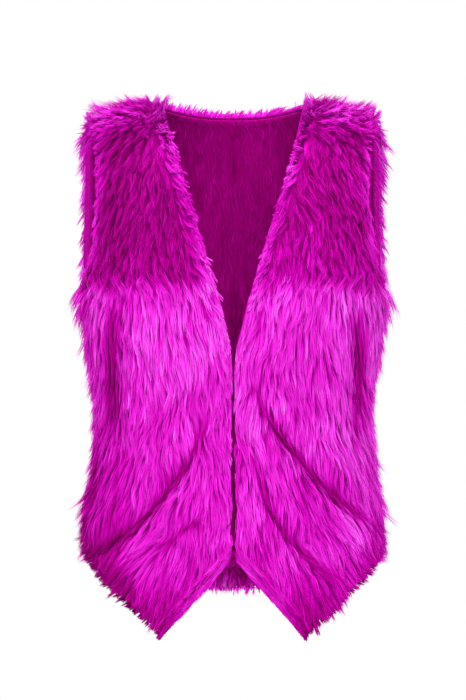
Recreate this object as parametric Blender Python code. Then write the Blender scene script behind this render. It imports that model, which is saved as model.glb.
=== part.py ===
"""Long-pile faux fur vest in its worn shape with no wearer, in metres, +Z up, front towards -Y.

The origin is where the wearer's shoulders hold the vest: on the midline, level with the inside of
the cloth halfway along the shoulder seams. Each fur piece is one wall: a knitted backing with its
combed-down pile outside. Fronts and back meet at the side and shoulder seams, which lie in the
plane y = 0. Every piece is made on a grid, with columns round the body and rows up it.
"""

import math

import bmesh
import bpy
import numpy as np

# Heights from the shoulder line
UNDERARM_Z = -0.2075
SIDE_HEM_Z = -0.5475
FRONT_CENTRE_HEM_Z = -0.539
FRONT_POINT_HEM_Z = -0.636
BACK_CENTRE_HEM_Z = -0.600

# Distances from the midline, and how far behind the shoulder seams the neck dips
FRONT_POINT_X = 0.088
CLOSURE_HALF_GAP = 0.0012
NECK_POINT_X = 0.087
BACK_NECK_Y = 0.046

# Shoulder line of the cloth: a slope that is rounded at the midline and drops off at the tip
SHOULDER_MID_Z = 0.0178
SHOULDER_SLOPE = 0.115
SHOULDER_ROUNDING = 0.030
SHOULDER_TIP_X = 0.178
SHOULDER_TIP_DROP = 0.004

# Thicknesses and distances of cloth, pile and lining
BACKING = 0.0015
PILE = 0.0125
PILE_AT_EDGE = 0.0045
EDGE_ROUNDING = 0.014
BACK_NECK_FULLNESS = 0.005
EDGE_OVERHANG = 0.006
OVERHANG_EASE = 0.040
SEAM_GAP = 0.0003
LINING = 0.0018
LINING_GAP = 0.0007
LINING_EDGE_INSET = 0.004
LINING_HEM_LIFT = 0.030

# Locks of pile on the outer side: tip's height over root, rows in a lock, and the rows by which
# each of four neighbouring columns is shifted
LOCK_LIFT = 0.0030
LOCK_ROWS = 4
LOCK_SHIFTS = (0, 2, 1, 3)
LOCK_SPACING = 0.011
HEM_LOCK_DOWN = 0.0036
HEM_LOCK_UP = 0.0024

# Section shapes: 2 is an ellipse and more is squarer
RING_EXPONENT = 2.3
CHEST_EXPONENT = 2.05
SHOULDER_BLADE_EXPONENT = 2.4

# Torso sections of the backing, with their depths in front of the seams and behind them
TORSO_COLUMNS = ("height", "half_width", "front_depth", "back_depth")
TORSO = (
    (-0.660, 0.1745, 0.112, 0.101),
    (-0.600, 0.1755, 0.112, 0.101),
    (-0.5475, 0.1765, 0.111, 0.100),
    (-0.500, 0.1750, 0.109, 0.097),
    (-0.440, 0.1665, 0.106, 0.090),
    (-0.385, 0.1615, 0.104, 0.085),
    (-0.335, 0.1640, 0.107, 0.086),
    (-0.285, 0.1730, 0.113, 0.091),
    (-0.240, 0.1785, 0.117, 0.096),
    (-0.2075, 0.1810, 0.118, 0.098),
)

# Closure and neck edge of a front
NECK_EDGE_COLUMNS = ("height", "x")
NECK_EDGE = (
    (-0.320, CLOSURE_HALF_GAP),
    (-0.290, 0.0040),
    (-0.265, 0.0090),
    (-0.235, 0.0165),
    (-0.200, 0.0270),
    (-0.165, 0.0375),
    (-0.118, 0.0520),
    (-0.080, 0.0635),
    (-0.040, 0.0745),
    (-0.005, 0.0842),
    (0.007, NECK_POINT_X),
)

# Armhole edges: share of the rise from underarm to shoulder, and share of the section's depth
ARMHOLE_COLUMNS = ("rise", "front", "back")
ARMHOLE = (
    (0.00, 0.0, 0.0),
    (0.03, 0.20, 0.11),
    (0.08, 0.35, 0.17),
    (0.18, 0.46, 0.21),
    (0.40, 0.525, 0.24),
    (0.65, 0.48, 0.25),
    (0.85, 0.36, 0.24),
    (1.00, 0.22, 0.22),
)

# Hem of a front, from the closure over its point to the side seam
FRONT_HEM_COLUMNS = ("x", "height")
FRONT_HEM = (
    (0.0, FRONT_CENTRE_HEM_Z),
    (FRONT_POINT_X, FRONT_POINT_HEM_Z),
    (0.131, -0.597),
    (0.160, -0.570),
    (0.1765, SIDE_HEM_Z),
)

# Folds: each is a trough along a curve through three places, with a low ridge on both sides
FOLD_COLUMNS = ("start_x", "start_z", "middle_x", "middle_z", "end_x", "end_z", "depth", "half_width")
FRONT_FOLDS = (
    (-0.034, -0.385, -0.086, -0.480, -0.165, -0.545, 0.0075, 0.017),
    (0.024, -0.345, 0.088, -0.440, 0.176, -0.520, 0.0080, 0.017),
    (0.030, -0.440, 0.060, -0.515, 0.122, -0.572, 0.0050, 0.015),
    (-0.080, -0.410, -0.087, -0.432, -0.078, -0.455, 0.0030, 0.013),
    (-0.040, -0.505, -0.062, -0.512, -0.096, -0.545, 0.0035, 0.014),
    (-0.140, -0.250, -0.143, -0.320, -0.139, -0.400, 0.0045, 0.020),
    (0.150, -0.250, 0.148, -0.320, 0.144, -0.410, 0.0045, 0.020),
    (-0.158, -0.395, -0.163, -0.450, -0.166, -0.495, 0.0040, 0.014),
)
BACK_FOLDS = (
    (-0.060, -0.330, -0.100, -0.430, -0.150, -0.500, 0.0060, 0.020),
    (0.050, -0.350, 0.095, -0.440, 0.155, -0.520, 0.0065, 0.020),
    (-0.020, -0.420, -0.030, -0.490, -0.045, -0.570, 0.0045, 0.018),
    (0.030, -0.450, 0.036, -0.520, 0.042, -0.585, 0.0040, 0.018),
    (-0.120, -0.060, -0.105, -0.110, -0.080, -0.160, 0.0035, 0.018),
    (0.125, -0.055, 0.108, -0.115, 0.085, -0.170, 0.0040, 0.018),
)
FOLD_STEPS = 24
FOLD_END = 0.04

# Folds and locks flatten within this distance of the seams' plane
SEAM_EASE = 0.030
LEAST_LOCK_AT_SEAM = 0.25

# Cells of each outer grid; inner grids have half as many each way
FRONT_COLUMNS_TO_POINT = 8
FRONT_COLUMNS_TO_SIDE = 18
FRONT_ROWS_BELOW_ARM = 30
FRONT_ROWS_ABOVE_ARM = 20
HALF_BACK_COLUMNS = 20
BACK_ROWS_BELOW_ARM = 26
BACK_ROWS_ABOVE_ARM = 18
ROW_CROWDING_AT_ARM = 1.4
BACK_HEM_EXPONENT = 3

SHARP_ANGLE = math.radians(60)
FUR_COLOUR = (0.62, 0.004, 0.52, 1.0)
FUR_ROUGHNESS = 0.6
LINING_COLOUR = (0.34, 0.002, 0.27, 1.0)
LINING_ROUGHNESS = 0.9


def clear_scene():
    """Removes whatever the scene starts with."""
    for thing in list(bpy.data.objects):
        bpy.data.objects.remove(thing)


def cloth_material(name, colour, roughness):
    """A plain cloth in one colour."""
    made = bpy.data.materials.new(name)
    made.use_nodes = True
    shader = made.node_tree.nodes["Principled BSDF"]
    shader.inputs["Base Color"].default_value = colour
    shader.inputs["Roughness"].default_value = roughness
    shader.inputs["Metallic"].default_value = 0.0
    return made


def column(table, names, name):
    """One named column of a table."""
    return np.array([row[names.index(name)] for row in table])


def smooth_read(at, places, values):
    """Reads a table along a smooth curve with no overshoot: cubic pieces with limited slopes."""
    step = np.diff(values) / np.diff(places)
    before, after = np.insert(step, 0, step[0]), np.append(step, step[-1])
    limit = 3 * np.minimum(np.abs(before), np.abs(after))
    slope = np.clip((before + after) / 2, -limit, limit) * (before * after > 0)
    at = np.clip(at, places[0], places[-1])
    k = np.clip(np.searchsorted(places, at, side="right") - 1, 0, len(places) - 2)
    width = places[k + 1] - places[k]
    t = (at - places[k]) / width
    return (
        values[k] * (1 + 2 * t) * (1 - t) ** 2
        + values[k + 1] * t**2 * (3 - 2 * t)
        + width * (slope[k] * t * (1 - t) ** 2 - slope[k + 1] * t**2 * (1 - t))
    )


def torso(size, height):
    """One size of the torso sections at a height."""
    heights = column(TORSO, TORSO_COLUMNS, "height")
    return smooth_read(height, heights, column(TORSO, TORSO_COLUMNS, size))


class Quarter:
    """A quarter of a superellipse, from straight ahead to straight out, by share of its length."""

    def __init__(self, exponent, steps=2000):
        angle = np.linspace(0.0, math.pi / 2, steps + 1)
        self.out = np.sin(angle) ** (2 / exponent)
        self.ahead = np.append(np.cos(angle[:-1]) ** (2 / exponent), 0.0)
        run = np.concatenate([[0.0], np.cumsum(np.hypot(np.diff(self.out), np.diff(self.ahead)))])
        self.share = run / run[-1]

    def at(self, share):
        """(how far out, how far ahead) at a share of the way."""
        return np.interp(share, self.share, self.out), np.interp(share, self.share, self.ahead)

    def share_out(self, out):
        """The share of the way at which the curve is this far out."""
        return np.interp(out, self.out, self.share)

    def share_ahead(self, ahead):
        """The share of the way at which the curve is this far ahead."""
        return np.interp(-ahead, -self.ahead, self.share)


RING = Quarter(RING_EXPONENT)
CHEST = Quarter(CHEST_EXPONENT)
SHOULDER_BLADE = Quarter(SHOULDER_BLADE_EXPONENT)


def shoulder_height(x):
    """Height of the shoulder line at a distance from the midline."""
    beyond = np.clip((x - NECK_POINT_X) / (SHOULDER_TIP_X - NECK_POINT_X), 0.0, None)
    slope = SHOULDER_MID_Z - SHOULDER_SLOPE * np.hypot(x, SHOULDER_ROUNDING)
    return slope - SHOULDER_TIP_DROP * beyond**3


def body_points(share, rise, height, is_front):
    """Places on the torso. share runs round the section from the midline to the side seam.

    Below the arm, height is a place's height and rise is 0. Above it, height stays the underarm's
    and rise is the share of the way from there up and over to the shoulder line.
    """
    out, ahead = RING.at(share)
    up, level = (CHEST if is_front else SHOULDER_BLADE).at(rise)
    x = torso("half_width", height) * out
    y = torso("front_depth" if is_front else "back_depth", height) * ahead * level
    y = -np.maximum(y, SEAM_GAP / 2) if is_front else np.maximum(y, SEAM_GAP / 2)
    z = height + (shoulder_height(x) - UNDERARM_Z) * up
    return np.stack([x, y, z], axis=-1)


def body_rows(hem, below, above):
    """(height, rise) of a grid's rows, which crowd at the underarm to round the armhole."""
    low = np.linspace(0.0, 1.0, below + 1)
    high = np.linspace(0.0, 1.0, above + 1)[1:] ** ROW_CROWDING_AT_ARM
    height = hem[:, None] + (UNDERARM_Z - hem[:, None]) * np.concatenate([low, np.ones(above)])
    return height, np.concatenate([np.zeros(below + 1), high])


def armhole_share(rise, side):
    """Share round the section at which one edge of an armhole lies."""
    rises = column(ARMHOLE, ARMHOLE_COLUMNS, "rise")
    depths = column(ARMHOLE, ARMHOLE_COLUMNS, side)
    return RING.share_ahead(smooth_read(np.sqrt(rise), np.sqrt(rises), depths))


def front_grid():
    """(backing's places, where they lie on a seam) of the front at +X, from closure to side seam."""
    hem_width = torso("half_width", FRONT_POINT_HEM_Z)
    first = RING.share_out(CLOSURE_HALF_GAP / hem_width)
    point = RING.share_out(FRONT_POINT_X / hem_width)
    to_point = np.linspace(first, point, FRONT_COLUMNS_TO_POINT + 1)
    to_side = np.linspace(point, 1.0, FRONT_COLUMNS_TO_SIDE + 1)[1:]
    hem_share = np.concatenate([to_point, to_side])
    hem_x = RING.at(hem_share)[0] * hem_width
    hem = np.interp(
        hem_x,
        column(FRONT_HEM, FRONT_HEM_COLUMNS, "x"),
        column(FRONT_HEM, FRONT_HEM_COLUMNS, "height"),
    )
    height, rise = body_rows(hem, FRONT_ROWS_BELOW_ARM, FRONT_ROWS_ABOVE_ARM)

    edge_z = height[0] + (shoulder_height(NECK_POINT_X) - UNDERARM_Z) * CHEST.at(rise)[0]
    edge_x = smooth_read(
        edge_z,
        column(NECK_EDGE, NECK_EDGE_COLUMNS, "height"),
        column(NECK_EDGE, NECK_EDGE_COLUMNS, "x"),
    )
    inner = RING.share_out(edge_x / torso("half_width", height[0]))
    outer = armhole_share(rise, "front")
    spread = (hem_share[:, None] - first) / (1 - first)
    seam = np.zeros(height.shape, bool)
    seam[-1, : FRONT_ROWS_BELOW_ARM + 1] = True
    seam[:, -1] = True
    return body_points(inner + (outer - inner) * spread, rise, height, True), seam


def half_back_grid():
    """(backing's places, where they lie on a seam) of the back's +X half, from midline to side seam."""
    spread = np.linspace(0.0, 1.0, HALF_BACK_COLUMNS + 1)
    hem_rise = (SIDE_HEM_Z - BACK_CENTRE_HEM_Z) * RING.at(spread)[0] ** BACK_HEM_EXPONENT
    height, rise = body_rows(BACK_CENTRE_HEM_Z + hem_rise, BACK_ROWS_BELOW_ARM, BACK_ROWS_ABOVE_ARM)
    share = spread[:, None] * armhole_share(rise, "back")

    out, ahead = RING.at(share[:, -1])
    x = out * torso("half_width", UNDERARM_Z)
    neck_y = BACK_NECK_Y * np.sqrt(np.clip(1 - (x / NECK_POINT_X) ** 2, 0.0, 1.0))
    top = SHOULDER_BLADE.share_ahead(neck_y / (ahead * torso("back_depth", UNDERARM_Z)))
    seam = np.zeros(height.shape, bool)
    seam[-1, : BACK_ROWS_BELOW_ARM + 1] = True
    seam[:, -1] = x >= NECK_POINT_X
    return body_points(share, rise * top[:, None], height, False), seam


def run_lengths(points, axis):
    """Distance along a grid from its first line, for every point."""
    steps = np.linalg.norm(np.diff(points, axis=axis), axis=-1)
    return np.insert(np.cumsum(steps, axis=axis), 0, 0.0, axis=axis)


def free_distance(points, underarm_row, is_front):
    """Distance of each place from the nearest free edge, up to the rounding of the edges."""
    around, along = run_lengths(points, 0), run_lengths(points, 1)
    below_arm = np.clip(along[-1, underarm_row] - along[-1], 0.0, None)
    from_arm = np.hypot(around[-1:] - around, below_arm)
    if is_front:
        from_neck = around
    else:
        past_neck = np.clip(points[:, -1:, 0] - NECK_POINT_X, 0.0, EDGE_ROUNDING)
        from_neck = np.hypot(along[:, -1:] - along, past_neck) + BACK_NECK_FULLNESS
    return np.minimum(np.minimum(along, from_arm), from_neck)


def fold_path(fold):
    """(places along a fold, share of the way to each)."""
    along = np.linspace(0.0, 1.0, FOLD_STEPS + 1)
    start, middle, end = (
        np.array([fold[place + "_x"], fold[place + "_z"]]) for place in ("start", "middle", "end")
    )
    bend = 2 * middle - (start + end) / 2
    t = along[:, None]
    return start * (1 - t) ** 2 + 2 * bend * t * (1 - t) + end * t**2, along


def fold_relief(x, z, folds, side):
    """How far folds move the cloth out at places seen from the front. side is -1 to mirror them."""
    moved = np.zeros_like(x)
    for row in folds:
        fold = dict(zip(FOLD_COLUMNS, row))
        places, along = fold_path(fold)
        apart = np.hypot(x[..., None] - side * places[:, 0], z[..., None] - places[:, 1])
        nearest = apart.argmin(-1)
        q = apart.min(-1) / fold["half_width"]
        fade = np.sqrt(np.sin(math.pi * np.clip(along[nearest], FOLD_END, 1 - FOLD_END)))
        moved -= fold["depth"] * fade * (1 - 2 * q**2) * np.exp(-(q**2))
    return moved


def lock_relief(points):
    """Locks of pile that lie over each other like shingles, shallower where the grid is fine."""
    i, j = np.meshgrid(*(np.arange(count) for count in points.shape[:2]), indexing="ij")
    from_tip = (j + np.array(LOCK_SHIFTS)[i % len(LOCK_SHIFTS)]) % LOCK_ROWS
    cell = np.minimum(
        np.gradient(run_lengths(points, 0), axis=0),
        np.gradient(run_lengths(points, 1), axis=1),
    )
    return LOCK_LIFT * (0.5 - from_tip / (LOCK_ROWS - 1)) * np.clip(cell / LOCK_SPACING, 0.0, 1.0)


def hem_locks(columns, plain):
    """Heights by which the hem's locks hang, every second one lower. plain has none."""
    lower = np.arange(columns) % 2 == 1
    return np.where(plain, 0.0, np.where(lower, -HEM_LOCK_DOWN, HEM_LOCK_UP))


def pile_depth(distance):
    """Depth of the pile at a distance from a free edge, where it is rounded off."""
    q = np.clip(distance / EDGE_ROUNDING, 0.0, 1.0)
    return PILE_AT_EDGE + (PILE - PILE_AT_EDGE) * np.sqrt(1 - (1 - q) ** 2)


def outward_normals(points, seam):
    """Unit normals of a grid, away from the body, and level with the seams' plane on a seam."""
    normal = np.cross(np.gradient(points, axis=0), np.gradient(points, axis=1))
    from_body = points * (1, 1, 0) + (0, 0, EDGE_ROUNDING)
    normal *= np.where((normal * from_body).sum(-1, keepdims=True) < 0, -1.0, 1.0)
    normal[..., 1] = np.where(seam, 0.0, normal[..., 1])
    return normal / np.linalg.norm(normal, axis=-1, keepdims=True)


def arm_overhang(points, underarm_row):
    """How far the pile hangs out over the armhole's edge, the grid's last column, at each row."""
    up = run_lengths(points, 1)[-1]
    return EDGE_OVERHANG * np.clip((up - up[underarm_row]) / OVERHANG_EASE, 0.0, 1.0)


def neck_overhang(points):
    """How far a front's pile hangs out over its neck edge, the grid's first column, at each row."""
    up = run_lengths(points, 1)[0]
    off_closure = np.clip((points[0, :, 0] - CLOSURE_HALF_GAP) / OVERHANG_EASE, 0.0, 1.0)
    off_shoulder = np.clip((up[-1] - up) / OVERHANG_EASE, 0.0, 1.0)
    return EDGE_OVERHANG * off_closure * off_shoulder


def past_edge(points, edge, neighbour):
    """Unit directions out over an edge column, away from its neighbour."""
    out = points[edge] - points[neighbour]
    return out / np.linalg.norm(out, axis=-1, keepdims=True)


def fur_wall(points, seam, distance, over_first, over_last, folds, side):
    """(outer face, inner face at half the cells, its normals) of a fur wall on its backing's grid."""
    ease = np.clip(np.abs(points[..., 1]) / SEAM_EASE, 0.0, 1.0)
    folded = fold_relief(points[..., 0], points[..., 2], folds, side) * ease
    cloth = points + outward_normals(points, seam) * folded[..., None]
    normal = outward_normals(cloth, seam)
    inside = np.clip(distance / EDGE_ROUNDING, 0.0, 1.0)
    locks = lock_relief(points) * inside * np.clip(2 * ease, LEAST_LOCK_AT_SEAM, 1.0)
    outer = cloth + normal * (pile_depth(distance) + locks)[..., None]
    outer[0] += past_edge(points, 0, 1) * over_first[:, None]
    outer[-1] += past_edge(points, -1, -2) * over_last[:, None]
    inner = cloth - normal * BACKING
    return outer, inner[::2, ::2], normal[::2, ::2]


def rim_steps(columns, rows):
    """Steps once round the rim of a grid."""
    rim = [(i, 0) for i in range(columns)]
    rim += [(columns - 1, j) for j in range(1, rows)]
    rim += [(i, rows - 1) for i in range(columns - 2, -1, -1)]
    rim += [(0, j) for j in range(rows - 2, 0, -1)]
    return list(zip(rim, rim[1:] + rim[:1]))


def wall_mesh(name, outer, inner):
    """A closed wall between two grids, of which the inner has as many cells or half as many."""
    ratio = (outer.shape[0] - 1) // (inner.shape[0] - 1)
    shape = bmesh.new()
    on_outer = [[shape.verts.new(place) for place in line] for line in outer.tolist()]
    on_inner = [[shape.verts.new(place) for place in line] for line in inner.tolist()]
    for side in (on_outer, on_inner):
        for line, following in zip(side, side[1:]):
            for j in range(len(line) - 1):
                shape.faces.new((line[j], following[j], following[j + 1], line[j + 1]))
    for (ai, aj), (bi, bj) in rim_steps(*inner.shape[:2]):
        start, end = on_outer[ratio * ai][ratio * aj], on_outer[ratio * bi][ratio * bj]
        near, far = on_inner[ai][aj], on_inner[bi][bj]
        if ratio == 1:
            shape.faces.new((start, near, far, end))
            continue
        middle = on_outer[ai + bi][aj + bj]
        for corners in ((start, near, middle), (middle, near, far), (middle, far, end)):
            shape.faces.new(corners)
    bmesh.ops.triangulate(shape, faces=shape.faces)
    bmesh.ops.recalc_face_normals(shape, faces=shape.faces)
    mesh = bpy.data.meshes.new(name)
    shape.to_mesh(mesh)
    shape.free()
    return mesh


def place(name, outer, inner, material):
    """Adds a wall to the scene, smooth but for its rim."""
    mesh = wall_mesh(name, outer, inner)
    mesh.shade_smooth()
    mesh.set_sharp_from_angle(angle=SHARP_ANGLE)
    mesh.materials.append(material)
    bpy.context.scene.collection.objects.link(bpy.data.objects.new(name, mesh))


def make_front(name, side, fur):
    """A front. side is 1 for the wearer's left, which is modelled, and -1 for its mirror image."""
    points, seam = front_grid()
    distance = free_distance(points, FRONT_ROWS_BELOW_ARM, True)
    over_neck, over_arm = neck_overhang(points), arm_overhang(points, FRONT_ROWS_BELOW_ARM)
    columns = np.arange(points.shape[0])
    plain = (columns <= FRONT_COLUMNS_TO_POINT) | (columns >= columns[-1] - 1)
    points[:, 0, 2] += hem_locks(len(columns), plain)
    outer, inner, _ = fur_wall(points, seam, distance, over_neck, over_arm, FRONT_FOLDS, side)
    place(name, outer * (side, 1, 1), inner * (side, 1, 1), fur)


def make_back(name, lining_name, fur, lining):
    """The back and, inside it, its lining."""
    half, half_seam = half_back_grid()
    half_distance = free_distance(half, BACK_ROWS_BELOW_ARM, False)
    over_arm = arm_overhang(half, BACK_ROWS_BELOW_ARM)
    points = np.concatenate([half[:0:-1] * (-1, 1, 1), half])
    seam = np.concatenate([half_seam[:0:-1], half_seam])
    distance = np.concatenate([half_distance[:0:-1], half_distance])
    columns = np.arange(points.shape[0])
    points[:, 0, 2] += hem_locks(len(columns), (columns < 1) | (columns >= columns[-1]))
    outer, inner, normal = fur_wall(points, seam, distance, over_arm, over_arm, BACK_FOLDS, 1)
    place(name, outer, inner, fur)

    i, j = lining_places(inner)
    normal = resample(normal, i, j)
    normal /= np.linalg.norm(normal, axis=-1, keepdims=True)
    far_side = resample(inner, i, j) - normal * LINING_GAP
    place(lining_name, far_side, far_side - normal * LINING, lining)


def lining_places(cloth):
    """Where on the back's inner grid the lining's points lie: on its points, but for the edges."""
    columns, rows = cloth.shape[:2]
    around, along = run_lengths(cloth, 0), run_lengths(cloth, 1)
    first_column = LINING_EDGE_INSET / around[1].mean()
    first_row = LINING_HEM_LIFT / along[:, 1].mean()
    last_row = rows - 1 - LINING_EDGE_INSET / (along[:, -1] - along[:, -2]).mean()
    i = np.concatenate([[first_column], np.arange(1, columns - 1), [columns - 1 - first_column]])
    j = np.concatenate([[first_row], np.arange(math.ceil(first_row), rows - 1), [last_row]])
    return np.meshgrid(i, j, indexing="ij")


def resample(grid, i, j):
    """A grid read between its points."""
    low_i = np.minimum(i.astype(int), grid.shape[0] - 2)
    low_j = np.minimum(j.astype(int), grid.shape[1] - 2)
    s, t = (i - low_i)[..., None], (j - low_j)[..., None]
    near = grid[low_i, low_j] * (1 - s) + grid[low_i + 1, low_j] * s
    far = grid[low_i, low_j + 1] * (1 - s) + grid[low_i + 1, low_j + 1] * s
    return near * (1 - t) + far * t


def main():
    """Builds the vest."""
    clear_scene()
    fur = cloth_material("fur", FUR_COLOUR, FUR_ROUGHNESS)
    lining = cloth_material("lining", LINING_COLOUR, LINING_ROUGHNESS)
    make_front("front_left", 1, fur)
    make_front("front_right", -1, fur)
    make_back("back", "back_lining", fur, lining)


main()
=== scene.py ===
"""Looks of the long-pile faux fur vest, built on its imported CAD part.

Each CAD wall becomes a thin backing with locks of fibres combed over it, and the lining gets short pile.
The cloth's shape comes from the same tables and functions as the part's source, on a finer grid and
without the solids' locks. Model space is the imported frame. A front is worked out at +X, and the
wearer's right one is mirrored. A place on a cloth is a fractional column i and row j of its grid.
"""

import math

import bpy
import numpy as np
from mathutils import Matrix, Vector

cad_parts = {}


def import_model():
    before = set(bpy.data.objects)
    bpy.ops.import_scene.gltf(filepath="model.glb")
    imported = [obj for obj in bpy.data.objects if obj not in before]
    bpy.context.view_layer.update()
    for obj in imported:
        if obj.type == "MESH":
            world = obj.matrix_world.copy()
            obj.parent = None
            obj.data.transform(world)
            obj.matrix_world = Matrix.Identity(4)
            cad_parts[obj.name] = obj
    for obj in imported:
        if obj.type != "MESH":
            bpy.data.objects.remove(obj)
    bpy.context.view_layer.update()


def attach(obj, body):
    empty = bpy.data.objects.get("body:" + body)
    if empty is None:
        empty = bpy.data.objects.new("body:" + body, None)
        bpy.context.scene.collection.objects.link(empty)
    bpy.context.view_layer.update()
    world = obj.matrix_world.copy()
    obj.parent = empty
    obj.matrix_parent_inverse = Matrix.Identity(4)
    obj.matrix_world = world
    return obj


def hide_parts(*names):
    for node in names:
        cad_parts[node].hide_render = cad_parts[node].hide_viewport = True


# The cloth, as in the part's source
UNDERARM_Z = -0.2075
SIDE_HEM_Z = -0.5475
FRONT_CENTRE_HEM_Z = -0.539
FRONT_POINT_HEM_Z = -0.636
BACK_CENTRE_HEM_Z = -0.600
FRONT_POINT_X = 0.088
CLOSURE_HALF_GAP = 0.0012
NECK_POINT_X = 0.087
BACK_NECK_Y = 0.046
SHOULDER_MID_Z = 0.0178
SHOULDER_SLOPE = 0.115
SHOULDER_ROUNDING = 0.030
SHOULDER_TIP_X = 0.178
SHOULDER_TIP_DROP = 0.004
BACKING = 0.0015
EDGE_ROUNDING = 0.014
SEAM_GAP = 0.0003
LINING = 0.0018
LINING_GAP = 0.0007
LINING_EDGE_INSET = 0.004
LINING_HEM_LIFT = 0.030
RING_EXPONENT = 2.3
CHEST_EXPONENT = 2.05
SHOULDER_BLADE_EXPONENT = 2.4
TORSO = (
    (-0.660, 0.1745, 0.112, 0.101),
    (-0.600, 0.1755, 0.112, 0.101),
    (-0.5475, 0.1765, 0.111, 0.100),
    (-0.500, 0.1750, 0.109, 0.097),
    (-0.440, 0.1665, 0.106, 0.090),
    (-0.385, 0.1615, 0.104, 0.085),
    (-0.335, 0.1640, 0.107, 0.086),
    (-0.285, 0.1730, 0.113, 0.091),
    (-0.240, 0.1785, 0.117, 0.096),
    (-0.2075, 0.1810, 0.118, 0.098),
)
NECK_EDGE = (
    (-0.320, CLOSURE_HALF_GAP),
    (-0.290, 0.0040),
    (-0.265, 0.0090),
    (-0.235, 0.0165),
    (-0.200, 0.0270),
    (-0.165, 0.0375),
    (-0.118, 0.0520),
    (-0.080, 0.0635),
    (-0.040, 0.0745),
    (-0.005, 0.0842),
    (0.007, NECK_POINT_X),
)
ARMHOLE = (
    (0.00, 0.0, 0.0),
    (0.03, 0.20, 0.11),
    (0.08, 0.35, 0.17),
    (0.18, 0.46, 0.21),
    (0.40, 0.525, 0.24),
    (0.65, 0.48, 0.25),
    (0.85, 0.36, 0.24),
    (1.00, 0.22, 0.22),
)
FRONT_HEM = (
    (0.0, FRONT_CENTRE_HEM_Z),
    (FRONT_POINT_X, FRONT_POINT_HEM_Z),
    (0.131, -0.597),
    (0.160, -0.570),
    (0.1765, SIDE_HEM_Z),
)
FRONT_FOLDS = (
    (-0.034, -0.385, -0.086, -0.480, -0.165, -0.545, 0.0075, 0.017),
    (0.024, -0.345, 0.088, -0.440, 0.176, -0.520, 0.0080, 0.017),
    (0.030, -0.440, 0.060, -0.515, 0.122, -0.572, 0.0050, 0.015),
    (-0.080, -0.410, -0.087, -0.432, -0.078, -0.455, 0.0030, 0.013),
    (-0.040, -0.505, -0.062, -0.512, -0.096, -0.545, 0.0035, 0.014),
    (-0.140, -0.250, -0.143, -0.320, -0.139, -0.400, 0.0045, 0.020),
    (0.150, -0.250, 0.148, -0.320, 0.144, -0.410, 0.0045, 0.020),
    (-0.158, -0.395, -0.163, -0.450, -0.166, -0.495, 0.0040, 0.014),
)
BACK_FOLDS = (
    (-0.060, -0.330, -0.100, -0.430, -0.150, -0.500, 0.0060, 0.020),
    (0.050, -0.350, 0.095, -0.440, 0.155, -0.520, 0.0065, 0.020),
    (-0.020, -0.420, -0.030, -0.490, -0.045, -0.570, 0.0045, 0.018),
    (0.030, -0.450, 0.036, -0.520, 0.042, -0.585, 0.0040, 0.018),
    (-0.120, -0.060, -0.105, -0.110, -0.080, -0.160, 0.0035, 0.018),
    (0.125, -0.055, 0.108, -0.115, 0.085, -0.170, 0.0040, 0.018),
)
FOLD_STEPS = 24
FOLD_END = 0.04
SEAM_EASE = 0.030
ROW_CROWDING_AT_ARM = 1.4
BACK_HEM_EXPONENT = 3

# Cells of the grids here, and how many columns of a front lie within the strip along its slanted hem
FRONT_COLUMNS_TO_POINT = 16
FRONT_COLUMNS_TO_SIDE = 36
FRONT_ROWS_BELOW_ARM = 60
FRONT_ROWS_ABOVE_ARM = 40
HALF_BACK_COLUMNS = 36
BACK_ROWS_BELOW_ARM = 46
BACK_ROWS_ABOVE_ARM = 34

# Lay of a front's pile: degrees by which it turns outward from straight down, by height, at LAY_OUT
LAY_OUT = (0.02, 0.06, 0.09, 0.12, 0.15, 0.18)
LAY = (
    (-0.650, (4, 6, 6, 24, 34, 40)),
    (-0.600, (3, 6, 12, 26, 38, 42)),
    (-0.550, (0, 6, 14, 24, 36, 38)),
    (-0.500, (0, 4, 12, 20, 26, 26)),
    (-0.440, (0, 3, 7, 12, 16, 20)),
    (-0.360, (0, 0, 2, 4, 8, 12)),
    (-0.290, (-14, -11, -4, 2, 5, 12)),
    (-0.225, (-16, -13, -5, 3, 12, 36)),
    (-0.190, (-14, -10, -3, 2, 8, 28)),
    (-0.140, (-10, -8, 0, 3, 6, 12)),
    (-0.090, (-8, -6, 2, 8, 12, 14)),
    (-0.058, (-8, -4, 6, 17, 25, 30)),
    (-0.034, (-6, -4, 6, 26, 38, 44)),
    (-0.014, (-6, -4, 8, 44, 60, 60)),
    (0.008, (-6, 0, 30, 74, 80, 72)),
)

# Folds whose pile is combed along them, and how far below them
COMBED_FOLDS = ((0, 0.042), (1, 0.042), (2, 0.024))

# Heights over which the closure becomes the V, and the front takes the chest's painted shade
V_Z = (-0.335, -0.300)
CHEST_Z = (-0.2225, -0.2150)

# Above this height the shoulders have tufts
TUFT_Z = -0.034

# Distances between locks: all over, along the edges, in the tufts and in the V's fringe
FRONT_APART = 0.0056
BACK_APART = 0.0062
FRONT_EDGE_APART = 0.0032
BACK_EDGE_APART = 0.0030
TUFTS_APART = 0.0066
FRINGE_APART = 0.0042
FACING_APART = 0.0034
PLUSH_APART = 0.0037

# What differs from front to front, by side. 1 is the wearer's left.
# How far inside the neck edge the pile begins, and how much further out than the cut's table it hangs
NECK_INSET = {1: 0.0040, -1: 0.0015}
NECK_SHIFT = {1: 0.0022, -1: 0.0}
# Half width of the slit between the fronts
CLOSURE_SLIT = {1: 0.0028, -1: 0.0014}
# How much the pile stops short of the outer hem, and from where to where that comes in
HEM_SHORT = {1: (0.0120, 0.122, 0.142), -1: (0.0204, 0.130, 0.150)}
# How much further the pile hangs over the hem beside its point, and stops short of the upper armhole
POINT_MORE = {1: 0.006, -1: -0.007}
ARM_SHORT = {1: 0.009, -1: 0.005}
# How much the chest's tint is lowered, as painted shade where the pile's lie takes less light
CHEST_SHADE_DEPTH = {1: 0.25, -1: 0.29}
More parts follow.
